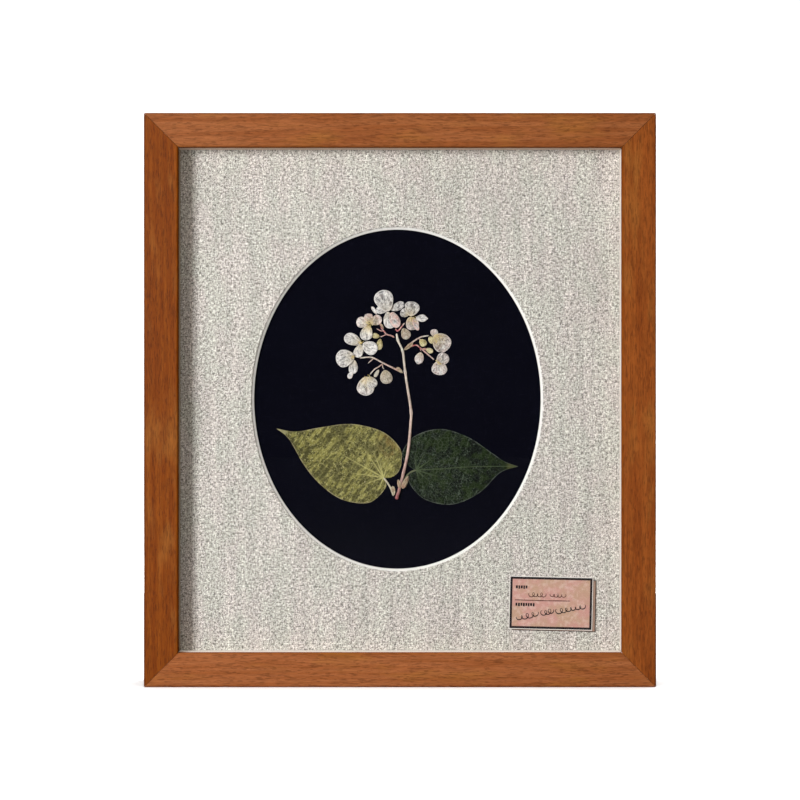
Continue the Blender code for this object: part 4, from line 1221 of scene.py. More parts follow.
dark_leaf = make_leaf("leaf_dark_green", DARK_GREEN, GREEN_PLACES, GREEN_SHARES, 0.55)
build_leaf("leaf_left", LEFT_LEAF, olive_leaf, 11)
build_leaf("leaf_right", RIGHT_LEAF, dark_leaf, 12)

# %% [markdown]
# ## Petals, buds and bracts
# A petal is an egg shape that has dried thin. The outline is a cosine along its axis and a sine
# across it, which grows towards the tip, with a slow ripple added. Inside it run rings of points,
# each pulled towards the middle. Folds fan out from where the petal grew, so their height is a
# sum of waves in the angle round that place. The base height comes from the solid, smoothed, so
# that a petal still lies over the ones beneath it.

# %% Petal surface
PETAL_ANGLES = 96
PETAL_RINGS = 18
PETAL_SHEET = 0.11 * MM
INSIDE_SOLID = 0.985
GOLD_REACH = 0.58
RIM_CURL = 0.10 * MM


def petal_edge(angles, base, tip, width, fullness, ripple, point, rng):
    """The outline: a cosine along the axis, and across it a sine that grows towards the tip."""
    axis = tip - base
    side = np.array([-axis[1], axis[0]]) / np.linalg.norm(axis)
    along = (1 - np.cos(angles)) / 2
    along = along + point * 0.10 * np.exp(-((angles - math.pi) / 0.35) ** 2)
    across = np.sin(angles) * (1 - fullness * np.cos(angles))
    across = across / np.abs(across).max() * (1 - point * 0.35 * np.exp(-((angles - math.pi) / 0.9) ** 2))
    phase = rng.uniform(0, 2 * math.pi, 4)
    wobble = sum(np.sin(angles * n + phase[i]) / n for i, n in enumerate((2, 3, 5, 9)))
    middle = (base + tip) / 2
    edge = base + axis * along[:, None] + side * (across * width / 2)[:, None]
    return middle, middle + (edge - middle) * (INSIDE_SOLID - ripple * (1 + wobble)[:, None])


def build_petal(name, shape, material, seed, fullness=0.25, thickness=PETAL_SHEET, folds=0.07,
                ripple=0.036, point=0.0, gold=0.0, blush=0.0, milk=0.35, over=None):
    """One petal, bud or scale in place of its solid, or a small one that lies over another solid.

    The relief is a sum of sines in the angle round the petal's foot, plus plane waves.
    """
    height_node = over or name
    rng = np.random.default_rng(seed)
    base, tip, width = from_foot(shape[0]), from_foot(shape[1]), shape[2] * MM
    angles = np.linspace(0, 2 * math.pi, PETAL_ANGLES, endpoint=False)
    middle, edge = petal_edge(angles, base, tip, width, fullness, ripple, point, rng)
    ring = (np.arange(1, PETAL_RINGS + 1) / PETAL_RINGS) ** 0.85
    flat = middle + (edge - middle)[None] * ring[:, None, None]
    places = np.vstack([middle, flat.reshape(-1, 2)])
    depth = skin_depth(height_node, places, -1) - (PRESS_GAP if over else 0.0)
    rings = blur_rings(depth[1:].reshape(PETAL_RINGS, PETAL_ANGLES), 4)
    axis = tip - base
    size = np.linalg.norm(axis)
    away = places - (base - axis * 0.12)
    distance = np.linalg.norm(away, axis=1) / size
    side = np.array([-axis[1], axis[0]]) / size
    angle = np.arctan2(away @ side, away @ (axis / size))
    phase = rng.uniform(0, 2 * math.pi, 6)
    counts = rng.uniform(6, 34, 6)
    pleat = sum(np.sin(angle * counts[i] + phase[i]) for i in range(6)) / 3
    crumple = waves(places, 16, 1.2 * MM, 5 * MM, rng)
    share = np.concatenate([[0.0], np.repeat(ring, PETAL_ANGLES)])
    fade = np.clip(distance * 2, 0, 1) * (1 - 0.5 * share**4)
    relief = (pleat * folds + crumple * folds * 0.7) * MM * fade
    front = np.concatenate([[rings[0].mean()], rings.reshape(-1)]) - relief
    front = front + RIM_CURL * np.clip((share - 0.86) / 0.14, 0, 1) ** 2
    back = front + thickness * (1 - 0.7 * share**6)
    top = np.stack([places[:, 0], front, places[:, 1]], 1)
    under = np.stack([places[:, 0], back, places[:, 1]], 1)
    count = len(places)
    faces = [
        grid_faces(PETAL_RINGS, PETAL_ANGLES, close_columns=True, first=1),
        grid_faces(PETAL_RINGS, PETAL_ANGLES, close_columns=True, first=1 + count),
    ]
    rim = 1 + (PETAL_RINGS - 1) * PETAL_ANGLES + np.arange(PETAL_ANGLES)
    faces.append(np.stack([rim, np.roll(rim, -1), np.roll(rim, -1) + count, rim + count], -1))
    first_ring = 1 + np.arange(PETAL_ANGLES)
    ends = [fan_faces(0, first_ring), fan_faces(count, count + first_ring)]
    gold_mask = gold * np.exp(-(distance / GOLD_REACH) ** 2)
    blush_mask = blush * np.clip(0.5 + 0.5 * crumple + 0.6 * (share - 0.5), 0, 1)
    values = {
        "rim": np.tile(share, 2), "gold": np.tile(gold_mask, 2), "blush": np.tile(blush_mask, 2),
        "milk": np.full(count * 2, milk) + np.tile(pleat, 2) * 0.25}
    uv = np.stack([angle / math.pi + 0.5, distance], 1)
    return add_piece(name + "_fine", np.vstack([top, under]), [np.concatenate(faces), np.concatenate(ends)],
                     material, () if over else [name], uv=np.tile(uv, (2, 1)),
                     values=values)


# %% Petal material


def make_petal(name, thin, thick, gold, blush, roughness=0.6):
    """Thin parts let the dark card through and look grey. Veins, folds and the rim are white."""
    material, tree, shader, place = start_material(name, roughness)
    uv = tree.nodes.new("ShaderNodeTexCoord").outputs["UV"]
    streak = noise(tree, stretched(tree, uv, (34, 5, 1)), 1.0, 3.0, 0.65)
    mottle = noise(tree, place, 900.0, 3.0, 0.6)
    patch = noise(tree, place, 280.0, 2.0)
    veins = add_node(tree, "TexVoronoi", {"Vector": stretched(tree, uv, (13, 4, 1)), "Scale": 1.0},
                     feature="DISTANCE_TO_EDGE").outputs["Distance"]
    body = calculate(tree, "MULTIPLY_ADD", streak, 0.6, calculate(tree, "MULTIPLY", mottle, 0.5))
    body = calculate(tree, "MULTIPLY_ADD", patch, 0.35, body)
    body = calculate(tree, "MULTIPLY_ADD", value_of(tree, "milk"), 0.22, body)
    white = step_between(tree, body, 0.69, 1.01)
    veined = calculate(tree, "MAXIMUM", white, step_between(tree, veins, 0.08, 0.0, 0.0, 0.85))
    rim_mask = step_between(tree, value_of(tree, "rim"), 0.90, 0.97, 0.0, 0.9)
    toned = mix_colours(tree, calculate(tree, "MAXIMUM", veined, rim_mask), thin, thick)
    blushed = mix_colours(tree, value_of(tree, "blush"), toned, blush)
    patchy = step_between(tree, mottle, 0.3, 0.6, 0.4, 1.0)
    gold_share = calculate(tree, "MULTIPLY", value_of(tree, "gold"), patchy)
    golden = mix_colours(tree, gold_share, blushed, gold)
    tree.links.new(golden, shader.inputs["Base Color"])
    set_bump(tree, shader, calculate(tree, "ADD", streak, mottle), 0.32 * MM, 0.8)
    return material


white_petal = make_petal(
    "dry_petal", thin=(0.15, 0.155, 0.165), thick=(0.82, 0.81, 0.785), gold=(0.64, 0.49, 0.19),
    blush=(0.72, 0.44, 0.38))
yellow_bud = make_petal(
    "dry_yellow_bud", thin=(0.32, 0.27, 0.11), thick=(0.82, 0.78, 0.50), gold=(0.48, 0.38, 0.09),
    blush=(0.42, 0.22, 0.12))
pale_bud = make_petal(
    "dry_bud", thin=(0.19, 0.17, 0.13), thick=(0.66, 0.63, 0.54), gold=(0.46, 0.35, 0.16),
    blush=(0.50, 0.33, 0.27))
rust_bract = make_petal(
    "dry_bract", thin=(0.24, 0.17, 0.10), thick=(0.64, 0.60, 0.44), gold=(0.30, 0.12, 0.07),
    blush=(0.38, 0.15, 0.12))

# %% Petals
PETALS = {
    "petal_a_left": ((-4.7, 95.7), (-10.4, 96.2), 4.1),
    "petal_a_right": ((-2.9, 96.0), (4.1, 99.5), 4.3),
    "petal_a_lower": ((-4.5, 95.3), (-2.7, 86.4), 6.1),
    "petal_a_lower_right": ((-2.6, 95.2), (0.9, 87.0), 5.3),
    "petal_a_top": ((-3.9, 95.2), (-8.0, 106.1), 10.1),
    "petal_b_lower": ((-13.9, 88.4), (-16.1, 80.6), 6.6),
    "petal_b_left": ((-13.8, 89.0), (-20.3, 90.5), 5.8),
    "petal_b_top": ((-13.6, 89.7), (-14.4, 94.3), 4.8),
    "petal_b_right": ((-13.1, 89.1), (-7.5, 92.3), 5.3),
    "petal_c_lower": ((-18.0, 78.7), (-20.1, 71.8), 5.1),
    "petal_c_left": ((-17.8, 79.0), (-26.3, 83.0), 6.3),
    "petal_c_right": ((-17.1, 79.2), (-9.8, 74.7), 7.1),
    "petal_d_lower": ((-21.1, 70.8), (-22.4, 63.5), 4.7),
    "petal_d_left": ((-20.9, 72.3), (-30.8, 71.0), 9.3),
    "petal_e_lower": ((-14.3, 62.4), (-16.5, 52.7), 9.4),
    "petal_e_right": ((-14.4, 62.1), (-10.8, 56.8), 5.6),
    "petal_g_left": ((6.5, 93.4), (2.2, 95.6), 4.6),
    "petal_g_lower": ((6.8, 92.6), (9.2, 86.0), 7.1),
    "petal_g_right": ((9.8, 92.1), (15.7, 91.7), 4.1),
    "petal_g_top": ((7.0, 92.9), (8.8, 100.4), 7.9),
    "petal_h_left": ((19.2, 82.3), (19.3, 86.4), 4.0),
    "petal_h_lower": ((19.1, 83.4), (26.4, 76.0), 10.1),
    "petal_i_lower": ((22.3, 70.4), (21.5, 63.0), 8.4),
    "petal_i_top": ((20.9, 68.3), (25.7, 73.6), 6.6),
}
GOLD = {
    "petal_a_top": 0.2, "petal_a_lower": 0.3, "petal_b_lower": 0.9, "petal_b_left": 0.6,
    "petal_b_top": 0.8, "petal_b_right": 0.8, "petal_c_lower": 0.5, "petal_c_left": 0.4,
    "petal_d_left": 0.35, "petal_d_lower": 0.4, "petal_e_lower": 0.9, "petal_e_right": 0.7,
    "petal_g_left": 0.6, "petal_g_lower": 0.8, "petal_g_top": 0.5, "petal_h_left": 0.5,
    "petal_h_lower": 0.9, "petal_i_lower": 0.3, "petal_i_top": 0.3,
}
BLUSH = {
    "petal_a_lower_right": 0.7, "petal_b_top": 0.6, "petal_b_right": 0.5, "petal_b_left": 0.3,
    "petal_e_lower": 0.15, "petal_g_lower": 0.35, "petal_h_lower": 0.25, "petal_h_left": 0.3,
    "petal_i_lower": 0.25, "petal_i_top": 0.25,
}
MILK = {
    "petal_a_lower": 0.6, "petal_b_lower": 0.55, "petal_b_left": 0.6, "petal_c_right": 0.65,
    "petal_c_lower": 0.7, "petal_d_lower": 0.5, "petal_g_right": 0.7, "petal_g_top": 0.2,
    "petal_h_lower": 0.1,
}
for number, (name, shape) in enumerate(PETALS.items()):
    build_petal(name, shape, white_petal, 100 + number, gold=GOLD.get(name, 0.1),
                blush=BLUSH.get(name, 0.08), point=1.0 if name == "petal_g_right" else 0.0,
                milk=MILK.get(name, 0.35))

BUDS = {
    "bud_top": (((3.3, 86.7), (6.1, 81.4), 5.0), pale_bud, 0.4),
    "bud_right_upper": (((12.0, 81.1), (14.9, 77.9), 3.8), yellow_bud, 0.2),
    "bud_drooping": (((12.5, 74.7), (11.0, 68.7), 4.8), white_petal, 0.35),
    "bud_yellow_left": (((-8.4, 82.5), (-12.3, 83.3), 2.9), yellow_bud, 0.2),
    "bud_yellow_right": (((-8.0, 81.4), (-9.0, 75.7), 3.5), yellow_bud, 0.2),
    "bud_lower": (((-5.8, 65.7), (-4.5, 58.6), 6.6), pale_bud, 0.2),
}
for number, (name, (shape, material, blush)) in enumerate(BUDS.items()):
    point, milk = (0.5, 0.5) if name == "bud_drooping" else (0.0, 0.35)
    build_petal(name, shape, material, 200 + number, thickness=0.5 * MM, folds=0.05, gold=0.4,
                blush=blush, point=point, milk=milk)
BRACTS = {
    "bract_left": ((2.0, 5.6), (0.9, 10.2), 2.0),
    "bract_right": ((3.0, 5.4), (6.2, 12.1), 2.6),
}
for number, (name, shape) in enumerate(BRACTS.items()):
    build_petal(name, shape, rust_bract, 300 + number, fullness=-0.2, folds=0.05, gold=0.5, blush=0.3)
print(len(PETALS), "petals,", len(BUDS), "buds,", len(BRACTS), "bracts")

# %% [markdown]
# Some pieces were too small for solids: narrow folded petals, a tiny bud, and the papery scales
# where branches leave the stem. They lie over a larger piece, whose solid gives their height.

# %% Small scales and petals
SMALL_PETALS = {
    "petal_a_narrow": ((-9.8, 93.8), (-12.5, 97.9), 1.8, white_petal, "petal_a_left", 0.6),
    "petal_d_small": ((-22.4, 64.9), (-24.1, 61.2), 2.8, white_petal, "petal_d_lower", 0.6),
    "petal_g_lobe": ((8.0, 91.6), (11.4, 85.6), 2.5, white_petal, "petal_g_lower", 0.2),
    "petal_h_lobe": ((19.5, 81.5), (16.3, 80.3), 3.8, yellow_bud, "petal_h_lower", 0.4),
    "bud_right_small": ((14.9, 76.3), (18.7, 74.7), 2.7, yellow_bud, "branch_right_lower", 0.6),
    "bud_tiny": ((-8.7, 65.8), (-11.1, 62.0), 2.0, pale_bud, "branch_lower_left", 0.6),
    "scale_left_petiole": ((-1.0, 2.0), (-1.9, 6.9), 2.0, rust_bract, "leaf_left", 0.5),
    "scale_lower_left": ((3.3, 64.0), (0.2, 67.0), 1.9, rust_bract, "branch_lower_left", 0.3),
    "scale_right_fork": ((4.0, 75.7), (8.4, 79.3), 2.1, rust_bract, "branch_right", 0.2),
    "scale_upper_left": ((-6.3, 86.4), (-8.2, 89.2), 1.3, rust_bract, "branch_upper_left", 0.3),
}
for number, (name, (base, tip, width, material, under, milk)) in enumerate(SMALL_PETALS.items()):
    build_petal(name, (base, tip, width), material, 400 + number, over=under, milk=milk,
                blush=0.7 if name in ("petal_g_lobe", "scale_upper_left") else 0.25)

# %% [markdown]
# Each open flower keeps its stamens: a tuft of yellow grains round its middle. The grains are
# ellipsoids, placed by chance round each middle and all worked out in one go.

# %% Stamens
STAMEN_TUFTS = {
    "petal_b_right": (-13.2, 89.6, 2.2), "petal_c_left": (-18.0, 79.7, 1.2),
    "petal_e_lower": (-14.4, 60.4, 2.8), "petal_g_lower": (8.6, 91.2, 2.2),
    "petal_h_lower": (20.6, 81.0, 2.4), "petal_i_top": (21.7, 69.2, 1.8),
    "petal_d_left": (-21.9, 72.2, 0.8),
}
GRAINS_PER_TUFT = 26
GRAIN_RINGS, GRAIN_SIDES = 5, 8
GRAIN_LONG, GRAIN_WIDE = 0.28 * MM, 0.15 * MM


def build_stamens(seed):
    """Ellipsoids: a sphere of rings, drawn out along a random way in the plane of the card."""
    rng = np.random.default_rng(seed)
    centres = []
    for node, (x, z, spread) in STAMEN_TUFTS.items():
        flat = from_foot(np.array([x, z]) + rng.normal(0, spread / 2, (GRAINS_PER_TUFT, 2)))
        depth = skin_depth(node, flat, -1) - GRAIN_WIDE * 1.1
        centres.append(np.stack([flat[:, 0], depth, flat[:, 1]], 1))
    centres = np.concatenate(centres)
    turn = np.linspace(0, 2 * math.pi, GRAIN_SIDES, endpoint=False)
    down = np.linspace(0, math.pi, GRAIN_RINGS + 2)[1:-1, None]
    across, height = np.sin(down), np.cos(down) + 0 * turn
    sphere = np.stack([across * np.cos(turn), across * np.sin(turn), height], -1)
    sphere = np.vstack([sphere.reshape(-1, 3), [(0, 0, 1), (0, 0, -1)]])
    way = rng.uniform(0, math.pi, len(centres))
    size = rng.uniform(0.7, 1.2, len(centres))[:, None, None]
    local = sphere[None] * np.array([GRAIN_WIDE, GRAIN_WIDE, GRAIN_LONG]) * size
    x = local[..., 0] * np.cos(way)[:, None] - local[..., 2] * np.sin(way)[:, None]
    z = local[..., 0] * np.sin(way)[:, None] + local[..., 2] * np.cos(way)[:, None]
    points = np.stack([x, local[..., 1], z], -1) + centres[:, None]
    quads = grid_faces(GRAIN_RINGS, GRAIN_SIDES, close_columns=True)
    pole, last_ring = GRAIN_RINGS * GRAIN_SIDES, (GRAIN_RINGS - 1) * GRAIN_SIDES
    first_ring = np.arange(GRAIN_SIDES)
    tris = np.vstack([fan_faces(pole, first_ring), fan_faces(pole + 1, last_ring + first_ring)])
    shift = (np.arange(len(centres)) * len(sphere))[:, None, None]
    return points.reshape(-1, 3), [(quads + shift).reshape(-1, 4), (tris + shift).reshape(-1, 3)]


pollen, pollen_tree, pollen_shader, pollen_place = start_material("dry_pollen", 0.8)
pollen_tone = step_between(pollen_tree, noise(pollen_tree, pollen_place, 1800.0, 2.0), 0.35, 0.65)
pollen_tree.links.new(mix_colours(pollen_tree, pollen_tone, (0.42, 0.29, 0.08), (0.78, 0.67, 0.33)),
                      pollen_shader.inputs["Base Color"])
stamen_points, stamen_faces = build_stamens(5)
stamens = add_piece("stamens", stamen_points, stamen_faces, pollen)
print("stamens", len(stamens.data.polygons), "faces")

# %% [markdown]
# ## The label
# A small pink paper with a black rule round it is pasted a little crooked on the linen, over a
# second paper that shows at its right and lower edges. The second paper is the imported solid, and
# the pink one is a plate of its own. Its colour is cloudy. The rule and the marks are ink: thin
# ribbons that lie on the paper. The marks are short bars in rows, a ruled line and running waves.

# %% Label paper
LABEL_TURN = math.radians(-1.3)
LABEL_SIZE = np.array([0.0422, 0.0268])
LABEL_CENTRE = np.array([0.0763, 0.0408])
LABEL_FRONT, LABEL_BACK = (corner.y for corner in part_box("label_card"))
BACKING_SIZE = np.array([0.042, 0.026])
BACKING_CENTRE = np.array([0.0780, 0.0397])
RULE_INSET = 0.35 * MM
INK_LIFT = 0.015 * MM
INK_THICKNESS = 0.02 * MM


def on_label(points):
    """Places in millimetres from the label's middle, turned with the label."""
    cosine, sine = math.cos(LABEL_TURN), math.sin(LABEL_TURN)
    return np.asarray(points, float) * MM @ np.array([[cosine, sine], [-sine, cosine]]) + LABEL_CENTRE


def edge_distance(tree, place, centre, size):
    """How far inside the edge of a turned rectangle a place is: the smaller of the two margins."""
    moved = add_node(tree, "VectorMath", {0: place, 1: (centre[0], 0.0, centre[1])}, operation="SUBTRACT")
    turned = add_node(tree, "Mapping", {"Vector": moved.outputs[0], "Rotation": (0.0, LABEL_TURN, 0.0)})
    parts = add_node(tree, "SeparateXYZ", {"Vector": turned.outputs["Vector"]}).outputs
    margins = [calculate(tree, "SUBTRACT", half, calculate(tree, "ABSOLUTE", parts[axis]))
               for axis, half in zip("XZ", np.asarray(size) / 2)]
    return calculate(tree, "MINIMUM", *margins)


def make_label_paper():
    """Pink paper with a paler cloud, and a white margin outside the rule."""
    material, tree, shader, place = start_material("label_paper", 0.85)
    cloud_low = noise(tree, place, 130.0, 3.0)
    cloud_high = noise(tree, place, 600.0, 3.0)
    pink_share = step_between(tree, cloud_low, 0.36, 0.64)
    pink = mix_colours(tree, pink_share, (0.50, 0.32, 0.225), (0.56, 0.30, 0.26))
    pale_share = step_between(tree, cloud_high, 0.42, 0.72, 0.0, 0.55)
    pale = mix_colours(tree, pale_share, pink, (0.68, 0.50, 0.43))
    margin = edge_distance(tree, place, LABEL_CENTRE, LABEL_SIZE)
    rim = step_between(tree, margin, RULE_INSET, RULE_INSET * 1.4)
    tree.links.new(mix_colours(tree, rim, (0.84, 0.80, 0.76), pale), shader.inputs["Base Color"])
    set_bump(tree, shader, cloud_high, 0.1 * MM, 0.4)
    return material


def build_label_card():
    """A thin plate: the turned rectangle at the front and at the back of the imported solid."""
    corners = on_label(np.array([(-1, -1), (1, -1), (1, 1), (-1, 1)]) * LABEL_SIZE / 2 / MM)
    front, back = (np.insert(corners, 1, depth, axis=1) for depth in (LABEL_FRONT, LABEL_BACK))
    sides = [(0, 4, 5, 1), (1, 5, 6, 2), (2, 6, 7, 3), (3, 7, 4, 0)]
    quads = np.array([(0, 1, 2, 3), (7, 6, 5, 4), *sides])
    card = add_piece("label_card_fine", np.vstack([front, back]), [quads], make_label_paper(),
                     ["label_card"])
    card.data.set_sharp_from_angle(angle=math.radians(30))


build_label_card()


def make_backing_paper():
    """Brown paper with a painted shadow: almost black in a band along its edge."""
    material, tree, shader, place = start_material("backing_paper", 0.9)
    made = place_group(tree, fibre_group, {
        "Place": place, "Base": (0.34, 0.225, 0.17, 1), "Fibre": (0.20, 0.13, 0.10, 1), "Cloud": 0.5,
        "Fibre Amount": 0.5, "Scale": 1.0})
    margin = edge_distance(tree, place, BACKING_CENTRE, BACKING_SIZE)
    # Painted shadow: a dark band along the paper's edge, beside the label.
    rim = step_between(tree, margin, 0.25 * MM, 0.45 * MM)
    brown = mix_colours(tree, rim, (0.035, 0.025, 0.022), made["Color"])
    tree.links.new(brown, shader.inputs["Base Color"])
    set_bump(tree, shader, made["Height"], 0.02 * MM, 0.5)
    return material


dress("label_backing", make_backing_paper())


def make_ink(name, full, thin):
    """Ink that is thin in patches."""
    material, tree, shader, place = start_material(name, 0.6)
    patchy = step_between(tree, noise(tree, place, 1200.0, 2.0), 0.4, 0.7)
    tree.links.new(mix_colours(tree, patchy, full, thin), shader.inputs["Base Color"])
    return material


black_ink = make_ink("black_ink", (0.006, 0.005, 0.006), (0.035, 0.022, 0.022))
brown_ink = make_ink("brown_ink", (0.07, 0.025, 0.02), (0.20, 0.09, 0.07))

# %% Ink


def ribbon(line, width, closed=False):
    """A flat strip along a line: a section of four corners carried along it."""
    line = on_label(line)
    if closed:
        before, after = np.roll(line, 1, 0), np.roll(line, -1, 0)
    else:
        before, after = np.vstack([line[:1], line[:-1]]), np.vstack([line[1:], line[-1:]])
    first, second = line - before, after - line
    first = np.where(np.linalg.norm(first, axis=1)[:, None] > 0, first, second)
    second = np.where(np.linalg.norm(second, axis=1)[:, None] > 0, second, first)
    first /= np.linalg.norm(first, axis=1)[:, None]
    second /= np.linalg.norm(second, axis=1)[:, None]
    way = first + second
    way /= np.linalg.norm(way, axis=1)[:, None]
    out = np.stack([-way[:, 1], way[:, 0]], 1)
    stretch = 1 / np.clip((way * first).sum(1), 0.6, 1)
    half = (np.broadcast_to(width, len(line)) * MM / 2 * stretch)[:, None]
    left, right = line + out * half, line - out * half
    near, far = LABEL_FRONT - INK_LIFT - INK_THICKNESS, LABEL_FRONT - INK_LIFT
    rings = np.stack([
        np.stack([side[:, 0], np.full(len(line), depth), side[:, 1]], -1)
        for side, depth in ((left, near), (right, near), (right, far), (left, far))], 1)
    return rings


def add_strips(name, strips, ink):
    """Ribbons in one mesh. Each is (rings, whether it is closed)."""
    points, quads, first = [], [], 0
    for rings, closed in strips:
        points.append(rings.reshape(-1, 3))
        quads.append(grid_faces(len(rings), 4, close_rows=closed, close_columns=True, first=first))
        if not closed:
            last = first + (len(rings) - 1) * 4
            corners = np.arange(4)
            quads.append(np.array([first + corners, last + corners[::-1]]))
        first += len(rings) * 4
    piece = add_piece(name, np.concatenate(points), [np.concatenate(quads)], ink)
    piece.data.set_sharp_from_angle(angle=math.radians(30))
    return piece


def bar_row(left, height, widths, tall, gap):
    """A row of short upright bars."""
    strips, x = [], left
    for i, width in enumerate(widths):
        low = height - tall / 2 * (0.75 + 0.25 * (i % 2))
        strips.append((ribbon([(x + width / 2, low), (x + width / 2, height + tall / 2)], width), False))
        x += width + gap
    return strips


def pen_wave(start, end, loops, tall, seed, width):
    """A running pen line: a wave along a slope whose height and lean change from loop to loop."""
    rng = np.random.default_rng(seed)
    t = np.linspace(0, 1, loops * 14)
    start, end = np.array(start), np.array(end)
    size = np.interp(t, np.linspace(0, 1, loops + 1), rng.uniform(0.45, 1.0, loops + 1)) * tall
    turn = 2 * math.pi * loops * t
    along = start + (end - start) * t[:, None]
    x = along[:, 0] - 0.45 * size * np.sin(turn)
    z = along[:, 1] + 0.5 * size * np.cos(turn)
    weight = width * (0.8 + 0.9 * np.sin(turn * 0.5) ** 2)
    return ribbon(np.stack([x, z], 1), weight), False


RULE_WIDTH = 1.15
half_w, half_h = (LABEL_SIZE / 2 - RULE_INSET) / MM - RULE_WIDTH / 2
rule = [(-half_w, -half_h), (half_w, -half_h), (half_w, half_h), (-half_w, half_h)]
add_strips("label_rule", [(ribbon(rule, RULE_WIDTH, closed=True), True)], black_ink)
printed = bar_row(-17.9, 7.8, (1.0, 0.8, 1.0, 0.8, 0.9), 1.7, 0.33)
printed += bar_row(-17.9, -1.0, (0.9, 1.0, 0.8, 1.0, 0.9, 0.8, 1.0, 0.9), 1.7, 0.33)
add_strips("label_print", printed, black_ink)
brown = [
    (ribbon([(-18.2, 1.3), (-5.0, 1.2), (9.6, 1.3)], 0.46), False),
    pen_wave((-11.0, 4.0), (-2.8, 4.0), 4, 2.4, 1, 0.28),
    pen_wave((-0.4, 4.0), (7.2, 3.8), 4, 2.2, 2, 0.28),
]
add_strips("label_line", brown, brown_ink)
pen = [
    pen_wave((-17.2, -8.2), (-6.4, -5.4), 4, 3.2, 3, 0.3),
    pen_wave((-4.4, -5.2), (1.2, -3.9), 3, 2.8, 4, 0.3),
    pen_wave((3.0, -4.2), (17.2, -1.4), 6, 2.9, 5, 0.3),
]
add_strips("label_pen", pen, black_ink)

# %% [markdown]
# ## Steel at the back
# The back isn't in the photograph. It has what such a frame has: four tabs that hold the panel,
# and a sawtooth hanger. Bare steel strip is rolled, so its fine scratches run one way, and it
# dulls where it is bent. Two round rivets hold the hanger to the panel.

# %% Steel
steel, steel_tree, steel_shader, steel_place = start_material("steel", 0.35, 1.0, gloss=0.5)
scratch = noise(steel_tree, stretched(steel_tree, steel_place, (120, 2500, 2500)), 1.0, 3.0)
dull = noise(steel_tree, steel_place, 260.0, 3.0)
dull_share = step_between(steel_tree, dull, 0.4, 0.7)
steel_tone = mix_colours(steel_tree, dull_share, (0.60, 0.60, 0.58), (0.40, 0.39, 0.37))
steel_tree.links.new(steel_tone, steel_shader.inputs["Base Color"])
steel_rough = step_between(steel_tree, scratch, 0.3, 0.7, 0.28, 0.48)
steel_tree.links.new(steel_rough, steel_shader.inputs["Roughness"])
set_bump(steel_tree, steel_shader, scratch, 0.02 * MM, 0.5)
for side_name in ("top", "bottom", "left", "right"):
    dress("tab_" + side_name, steel)
dress("sawtooth_hanger", steel)

# %% Rivets
HANGER_LOW, HANGER_HIGH = (np.array(corner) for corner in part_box("sawtooth_hanger"))
PANEL_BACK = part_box("back_panel")[1].y
RIVET_RADIUS = 1.7 * MM
RIVET_HEIGHT = 0.7 * MM
RIVET_INSET = 4.0 * MM
STRIP_THICKNESS = 0.8 * MM
STRIP_GAP = 0.3 * MM
RIVET_GAP = 0.02 * MM
RIVET_RINGS, RIVET_SIDES = 8, 32


def rivet(x, z, depth):
    """A low dome: a quarter ellipse turned round its axis, on a flat foot."""
    turn = np.linspace(0, 2 * math.pi, RIVET_SIDES, endpoint=False)
    rise = np.linspace(0, math.pi / 2, RIVET_RINGS, endpoint=False)[:, None]
    radius = RIVET_RADIUS * np.cos(rise)
    dome = np.stack([x + radius * np.cos(turn), depth + RIVET_HEIGHT * np.sin(rise) + 0 * turn,
                     z + radius * np.sin(turn)], -1)
    points = np.vstack([dome.reshape(-1, 3), [(x, depth + RIVET_HEIGHT, z), (x, depth, z)]])
    quads = grid_faces(RIVET_RINGS, RIVET_SIDES, close_columns=True)
    top, foot_ring = RIVET_RINGS * RIVET_SIDES, np.arange(RIVET_SIDES)
    tris = np.vstack([fan_faces(top, top - RIVET_SIDES + foot_ring), fan_faces(top + 1, foot_ring)])
    return points, quads, tris


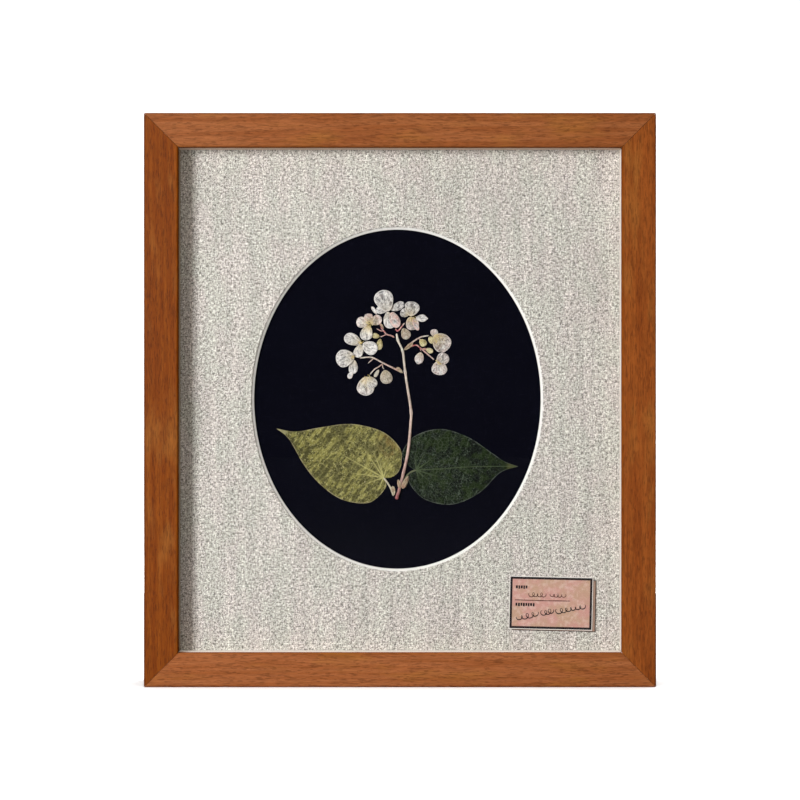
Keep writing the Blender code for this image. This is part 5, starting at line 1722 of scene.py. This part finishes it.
foot_depth = PANEL_BACK + STRIP_GAP + STRIP_THICKNESS + RIVET_GAP
hanger_middle = (HANGER_LOW[2] + HANGER_HIGH[2]) / 2
for side_name, x in (("left", HANGER_LOW[0] + RIVET_INSET), ("right", HANGER_HIGH[0] - RIVET_INSET)):
    rivet_points, rivet_quads, rivet_tris = rivet(x, hanger_middle, foot_depth)
    add_piece("rivet_" + side_name, rivet_points, [rivet_quads, rivet_tris], steel)

# %% [markdown]
# ## Floor and backdrop
# The frame stands on a white sheet that curves up behind it, so that no edge shows. The sheet is
# a profile, a quarter circle between two straight runs, carried sideways. It would throw so much
# light up that the frame had no dark side, so for light that it passes on, it is grey.

# %% Floor
SWEEP_HALF_WIDTH = 4.0
SWEEP_FRONT = -4.0
SWEEP_BACK = 1.6
SWEEP_RADIUS = 0.9
SWEEP_TOP = 4.0
BOUNCE_SHARE = 0.25


def build_sweep():
    """The sheet: a quarter circle between two straight runs, carried sideways."""
    turn = np.linspace(-math.pi / 2, 0, 24)
    curve = np.stack([SWEEP_BACK + SWEEP_RADIUS * np.cos(turn), SWEEP_RADIUS * (1 + np.sin(turn))], 1)
    profile = np.vstack([[SWEEP_FRONT, 0.0], curve, [SWEEP_BACK + SWEEP_RADIUS, SWEEP_TOP]])
    across = np.linspace(-SWEEP_HALF_WIDTH, SWEEP_HALF_WIDTH, 3)
    grid = np.stack([
        np.broadcast_to(across, (len(profile), 3)), np.repeat(profile[:, :1], 3, 1),
        np.repeat(profile[:, 1:], 3, 1)], -1)
    mesh = bpy.data.meshes.new("floor")
    mesh.from_pydata(grid.reshape(-1, 3).tolist(), [], grid_faces(len(profile), 3).tolist())
    mesh.shade_smooth()
    floor = bpy.data.objects.new("floor", mesh)
    bpy.context.scene.collection.objects.link(floor)
    material, tree, shader, place = start_material("floor_paper", 0.9)
    soft = step_between(tree, noise(tree, place, 3.0, 2.0), 0.3, 0.7, 0.93, 0.95)
    path = add_node(tree, "LightPath")
    shown = calculate(tree, "SUBTRACT", 1.0, only_by_glass(tree, path))
    dimmed = step_between(tree, path.outputs["Diffuse Depth"], 0.0, 1.0, 1.0, BOUNCE_SHARE)
    tree.links.new(calculate(tree, "MULTIPLY", soft, calculate(tree, "MULTIPLY", shown, dimmed)),
                   shader.inputs["Base Color"])
    shader.inputs["Specular IOR Level"].default_value = 0.1
    mesh.materials.append(material)
    return floor


build_sweep()
